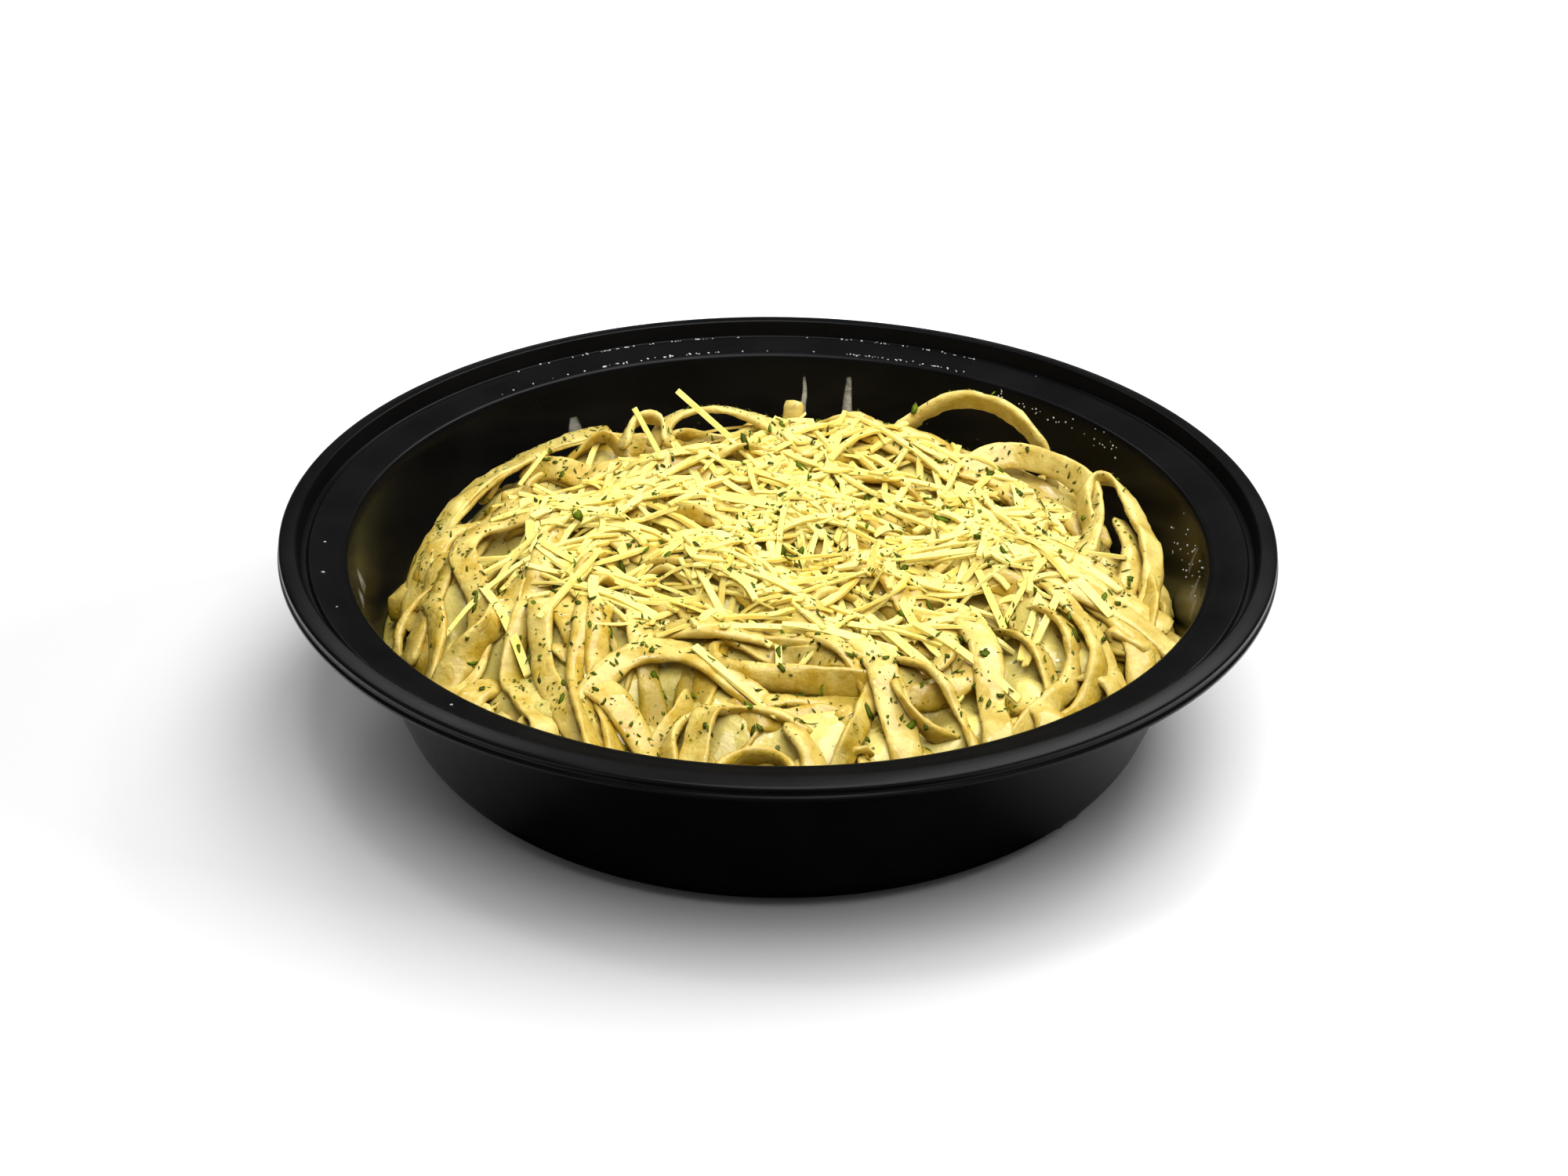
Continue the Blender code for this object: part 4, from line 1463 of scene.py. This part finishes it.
@dataclass
class Condensation:
    """Small clear beads on the rear ledges of the rim and on the inner wall.

    `arcs` gives azimuths and a count, `ledges` radius and height, and `wall_patches`
    azimuths, heights and a count.
    """

    bowl: Bowl
    arcs: tuple[tuple[float, float, int], ...] = ((62.0, 82.0, 30), (98.0, 118.0, 30), (48.0, 135.0, 16))
    ledges: tuple[tuple[float, float], ...] = ((108.6, 47.75), (100.6, 47.45))
    wall_patches: tuple[tuple[float, float, float, float, int], ...] = (
        (30.0, 60.0, 42.0, 46.5, 40), (-6.0, 14.0, 34.0, 44.0, 30))
    sides: int = 6

    def places(self, rng: np.random.Generator) -> Array:
        """Azimuth in degrees, radius, height and size of every bead."""
        rows = []
        for low, high, count in self.arcs:
            for radius, height in self.ledges:
                azimuth = rng.uniform(low, high, count)
                rows.append(np.stack([azimuth, rng.normal(radius, 0.25, count), np.full(count, height),
                                      rng.uniform(0.14, 0.34, count)], 1))
        for low, high, base, top, count in self.wall_patches:
            azimuth = rng.uniform(low, high, count)
            height = rng.uniform(base, top, count)
            rows.append(np.stack([azimuth, self.bowl.inner_radius(height) - 0.02, height,
                                  rng.uniform(0.14, 0.3, count)], 1))
        return np.concatenate(rows)

    def make(self, material: bpy.types.Material) -> bpy.types.Object:
        """Build each bead as a low dome: three rings of points and a point on top and beneath."""
        rng = np.random.default_rng(97)
        degrees, reach, height, size = self.places(rng).T
        azimuth = np.radians(degrees)
        level = np.zeros(len(azimuth))
        inward = np.stack([-np.cos(azimuth), -np.sin(azimuth), level], 1)
        wall = np.clip((100.0 - reach) / 0.4, 0.0, 1.0)[:, None]
        normal = inward * 0.95 * wall + np.array([0.0, 0.0, 1.0]) * (1.0 - 0.7 * wall)
        normal /= np.linalg.norm(normal, axis=1, keepdims=True)
        along = np.stack([-np.sin(azimuth), np.cos(azimuth), level], 1)
        other = np.cross(normal, along)[:, None]
        along, normal = along[:, None], normal[:, None]
        centre = polar(reach, azimuth, height)[:, None]
        size = size[:, None, None]
        turn = ring_angles(self.sides)
        ring = along * np.cos(turn)[None, :, None] + other * np.sin(turn)[None, :, None]
        parts = [centre + ring * wide * size + normal * high * size
                 for wide, high in ((0.95, -0.1), (0.9, 0.35), (0.5, 0.72))]
        own = len(parts) * self.sides + 2
        points = np.concatenate(parts + [centre - normal * 0.15 * size, centre + normal * 0.85 * size], 1)
        offsets = np.arange(len(azimuth))[:, None, None] * own
        quads, triangles = (faces[:, ::-1][None] + offsets for faces in swept_faces(len(parts), self.sides))
        shape = Shape()
        shape.add(points.reshape(-1, 3), quads.reshape(-1, 4), triangles.reshape(-1, 3))
        return shape.make("condensation_beads", material)


@dataclass
class SauceFilms:
    """Thin dried drips and smears of sauce on the inner wall, and tiny crumbs on the flange.

    `patches` gives azimuth, lowest and highest place, half width and strength, and `crumbs`
    azimuth, radius and size.
    """

    bowl: Bowl
    grid: tuple[int, int] = (17, 9)
    thick: float = 0.18
    patches: tuple[tuple[float, float, float, float, float], ...] = (
        (86.3, 32.0, 42.0, 0.7, 0.7), (79.5, 31.0, 42.5, 1.2, 0.75),
        (183.0, 34.0, 40.0, 2.0, 0.32), (187.0, 34.0, 38.5, 2.4, 0.25), (-3.0, 34.0, 40.5, 2.0, 0.3),
        (-7.0, 33.5, 38.5, 2.2, 0.28), (123.0, 32.0, 37.5, 2.0, 0.3), (3.0, 36.0, 43.0, 1.0, 0.3))
    crumbs: tuple[tuple[float, float, float], ...] = (
        (184.0, 104.0, 0.4), (192.0, 104.5, 0.5), (201.0, 104.0, 0.35), (229.0, 103.5, 0.45),
        (231.0, 106.5, 0.35))

    def make(self, material: bpy.types.Material) -> bpy.types.Object:
        """Build each film as a flat lens that follows the wall.

        Formula: over a grid of place across and up the wall, the film stands off the wall by
        its thickness times one minus the square of either place, and its back lies on the wall.
        """
        shape = Shape()
        rows, columns = self.grid
        uu, vv = np.meshgrid(np.linspace(-1.0, 1.0, columns), np.linspace(-1.0, 1.0, rows))
        inner = (1.0 - uu ** 2) * (1.0 - vv ** 2)
        quads = grid_faces(rows, columns, False)
        count = rows * columns
        border = np.concatenate([np.arange(columns), np.arange(1, rows) * columns + columns - 1,
                                 (rows - 1) * columns + np.arange(columns - 2, -1, -1),
                                 np.arange(rows - 2, 0, -1) * columns])
        after = np.roll(border, -1)
        skirt = np.stack([border, after, after + count, border + count], 1)
        faces = np.concatenate([quads, quads[:, ::-1] + count, skirt])
        for number, (azimuth, low, high, half, veil) in enumerate(self.patches):
            height = (low + high) / 2.0 + vv * (high - low) / 2.0
            spots = np.stack([height.ravel(), np.full(height.size, number * 9.0)], 1)
            drift = 0.12 * wander(spots, 7.0, 50 + number).reshape(height.shape)
            sideways = uu * half * (1.0 - 0.45 * vv) + drift
            angle = math.radians(azimuth) + sideways / 98.0
            wall = self.bowl.inner_radius(height)
            sheets = [polar(wall - stand, angle, height).reshape(-1, 3)
                      for stand in (0.03 + self.thick * inner, np.full_like(inner, 0.01))]
            shape.add(np.concatenate(sheets), faces, veil=np.tile((inner.ravel() ** 0.5) * veil, 2))
        self.add_crumbs(shape)
        return shape.make("sauce_films", material)

    def add_crumbs(self, shape: Shape) -> None:
        """Build the crumbs: a ring, a smaller one over it and a point on top and beneath."""
        turn = ring_angles(6)
        quads, triangles = (faces[:, ::-1] for faces in swept_faces(2, 6))
        for number, (azimuth, reach, size) in enumerate(self.crumbs):
            middle = polar(reach, math.radians(azimuth), self.bowl.flange_top(reach))
            ring = np.stack([np.cos(turn + number), 0.6 * np.sin(turn + number), 0.0 * turn], 1) * size
            up = np.array([0.0, 0.0, size])
            points = np.concatenate([middle + ring, middle + 0.7 * ring + 0.45 * up,
                                     [middle], [middle + 0.6 * up]])
            shape.add(points, quads, triangles, veil=0.9)


# ------------------------------------------------------------------ studio

@dataclass
class Studio:
    """Pale floor, soft lights, plain world and the camera; camera lengths in mm, the rest in metres."""

    distance: float = 720.0
    elevation: float = 27.826
    aim_height: float = 52.0
    pitch: float = 29.125
    yaw: float = 0.132
    roll: float = 0.751
    lens: float = 71.77
    floor_half: float = 6.0

    # name, place, size and power of each area light
    lights: tuple[tuple[str, tuple[float, float, float], tuple[float, float], float], ...] = (
        ("overhead_softbox", (0.30, -0.08, 1.12), (2.1, 0.75), 32.0),
        ("glint_softbox", (-0.16, -0.20, 1.0), (0.13, 0.13), 1.5),
        ("rear_left_softbox", (-0.30, 0.62, 0.70), (0.16, 0.16), 0.8),
        ("rear_right_softbox", (0.34, 0.62, 0.70), (0.16, 0.16), 0.8))

    def build(self) -> None:
        """Make the floor, the world, the lights and the camera."""
        self.floor()
        self.world()
        for name, place, size, power in self.lights:
            self.light(name, place, size, power)
        self.camera()

    def floor(self) -> None:
        """Lay the large level floor."""
        half = self.floor_half
        mesh = bpy.data.meshes.new("studio_floor")
        mesh.from_pydata([(-half, -half, 0.0), (half, -half, 0.0), (half, half, 0.0), (-half, half, 0.0)],
                         [], [(0, 1, 2, 3)])
        mesh.materials.append(self.floor_material())
        plane = bpy.data.objects.new("studio_floor", mesh)
        bpy.context.scene.collection.objects.link(plane)

    @staticmethod
    def floor_material() -> bpy.types.Material:
        """Build the pale floor.

        Near the middle it looks dark in reflections and at the sides it glows in them: painted
        reflection. The camera sees a faint painted glow that grows away from the bowl, so that the
        shadow fades out into white, and a faint painted ring of light round the foot.

        Returns:
            The material.
        """
        material, tree, shader = new_material("floor_white")
        place = object_place(tree)
        light_path = node(tree, "LightPath").outputs
        noise = node(tree, "TexNoise", {"Vector": place, "Scale": 9.0})
        pale = blend(tree, noise.outputs[0], opaque((0.55,) * 3), opaque((0.57,) * 3))
        sideways = calc(tree, "ABSOLUTE", node(tree, "SeparateXYZ", {0: place}).outputs[0])
        aside = remap(tree, sideways, 0.06, 0.15)
        mirrored = blend(tree, aside, opaque((0.01,) * 3), opaque((1.0,) * 3))
        drawn = node(tree, "VectorMath", {0: place, 1: (0.76, 1.7, 1.0)}, operation="MULTIPLY")
        spread, away = (node(tree, "VectorMath", {0: spot}, operation="LENGTH").outputs["Value"]
                        for spot in (drawn.outputs[0], place))
        # painted light: a ring of light round the foot and a glow growing away from the bowl, seen by the
        # camera only
        ring = calc(tree, "MULTIPLY", remap(tree, away, 0.078, 0.105, 0.0, 0.13),
                    remap(tree, away, 0.12, 0.155, 1.0, 0.0))
        fade = calc(tree, "ADD", remap(tree, spread, 0.15, 0.5, 0.0, 0.8), ring)
        # painted reflection: glossy rays see the floor glow left and right of the middle, which lightens
        # the bowl's sides
        glow = calc(tree, "MULTIPLY", calc(tree, "MULTIPLY", aside, light_path["Is Glossy Ray"]), 0.5)
        feed(tree, shader, {
            "Base Color": blend(tree, light_path["Is Glossy Ray"], pale, mirrored),
            "Roughness": 0.9,
            "Specular IOR Level": 0.0,
            "Emission Color": opaque((1.0,) * 3),
            "Emission Strength": calc(tree, "MULTIPLY_ADD", fade, light_path["Is Camera Ray"], glow)})
        return material

    def world(self) -> None:
        """White surroundings for soft light; reflections see them dark, with a paler ceiling."""
        world = bpy.data.worlds.new("studio")
        bpy.context.scene.world = world
        world.use_nodes = True
        tree = world.node_tree
        way = node(tree, "SeparateXYZ", {0: node(tree, "TexCoord").outputs["Generated"]})
        ceiling = remap(tree, way.outputs["Z"], 0.55, 0.95, 0.02, 0.25)
        path = node(tree, "LightPath").outputs
        shown = calc(tree, "ADD", calc(tree, "MULTIPLY", path["Is Camera Ray"], 0.87), 0.18)
        level = node(tree, "Mix", {0: path["Is Glossy Ray"], 2: shown, 3: ceiling})
        feed(tree, tree.nodes["Background"], {"Strength": level.outputs[0], "Color": opaque((1.0,) * 3)})

    @staticmethod
    def light(name: str, place: tuple, size: tuple, power: float) -> None:
        """Add an area light that points at the food."""
        lamp = bpy.data.lights.new(name, "AREA")
        lamp.shape = "RECTANGLE"
        lamp.size, lamp.size_y = size
        lamp.energy = power
        item = bpy.data.objects.new(name, lamp)
        item.location = place
        food = Vector((0.0, 0.0, 0.04))
        item.rotation_euler = (food - Vector(place)).to_track_quat("-Z", "Y").to_euler()
        bpy.context.scene.collection.objects.link(item)

    def camera(self) -> None:
        """Camera in front and above, with its own slight turn and roll."""
        raised = math.radians(self.elevation)
        height = self.aim_height + self.distance * math.sin(raised)
        place = Vector((0.0, -self.distance * math.cos(raised), height)) * MM
        pitch, yaw, roll = (math.radians(v) for v in (self.pitch, self.yaw, self.roll))
        ahead = Vector((math.sin(yaw) * math.cos(pitch), math.cos(yaw) * math.cos(pitch), -math.sin(pitch)))
        level = Vector((math.cos(yaw), -math.sin(yaw), 0.0))
        above = level.cross(ahead)
        right = level * math.cos(roll) + above * math.sin(roll)
        up = above * math.cos(roll) - level * math.sin(roll)
        data = bpy.data.cameras.new("studio_camera")
        data.sensor_width = 36.0
        data.lens = self.lens
        data.clip_end = 50.0
        item = bpy.data.objects.new("studio_camera", data)
        turned = Matrix((right, up, -ahead)).transposed().to_4x4()
        turned.translation = place
        item.matrix_world = turned
        bpy.context.scene.collection.objects.link(item)
        bpy.context.scene.camera = item
        bpy.context.scene.view_settings.view_transform = "Standard"


def dress(piece: bpy.types.Object, slot: str, *replaced: str) -> None:
    """Ride a piece on the body and hide the CAD nodes it stands for."""
    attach(piece, "root")
    if replaced:
        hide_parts(*replaced)


def build_noodles(heap: NoodleHeap, material: bpy.types.Material, cover: Array) -> None:
    """Build the noodles that show, in three pieces; the last one stands for the CAD heap."""
    shown = [strand for strand in heap.strands if heap.seen(strand)]
    log.info("noodles: %d laid, %d shown", len(heap.strands), len(shown))
    others = [strand for strand in shown if not strand.hand_laid]
    half = len(others) // 2
    batches = {"noodles_under": others[:half], "noodles_between": others[half:],
               "noodles_top": [strand for strand in shown if strand.hand_laid]}
    for name, batch in batches.items():
        shape = Shape()
        for strand in batch:
            heap.body(strand, cover, shape)
        replaced = ("fettuccine",) if name == "noodles_top" else ()
        dress(shape.make(name, material), "coated_noodle", *replaced)


def main() -> None:
    """Build every piece in order, from the bowl up to the herbs."""
    logging.basicConfig(level=logging.INFO, format="%(name)s %(message)s")
    groups = {tree.name: tree for tree in (specks_group(), mottle_group())}
    bowl = Bowl(outer_radius=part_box("bowl")[1].x / MM)
    dress(bowl.make(PlasticFinish().make(groups)), "bowl_plastic", "bowl")

    heights = HeightMap()
    heap = NoodleHeap(heights, bowl)
    heap.start_core()
    heap.fill(np.random.default_rng(2207))
    heap.lay_all(LAID_NOODLES, 30)
    cover = heights.blurred(8.0)
    dress(Sauce(heights, bowl).make(SAUCE_FINISH.make(groups), cover), "cream_sauce", "alfredo_sauce")
    # the cheese lies on the heap as it was before the standing loops
    low_top = heights.level + 1.5
    heap.lay_all(STANDING_NOODLES, 130)
    build_noodles(heap, NOODLE_FINISH.make(groups), cover)

    full_top = heights.level
    heights.level = np.minimum(full_top, low_top)
    dress(CheeseShreds(heights).make(CHEESE_FINISH.make(groups)), "cheese", "shredded_cheese")
    heights.level = np.maximum(heights.level, full_top)
    dress(HerbFlakes(heights).make(HerbFinish().make(groups)), "parsley")
    dress(Condensation(bowl).make(WaterFinish().make(groups)), "water")
    dress(SauceFilms(bowl).make(SmearFinish().make(groups)), "cream_sauce")
    Studio().build()


if __name__ == "__main__":
    main()
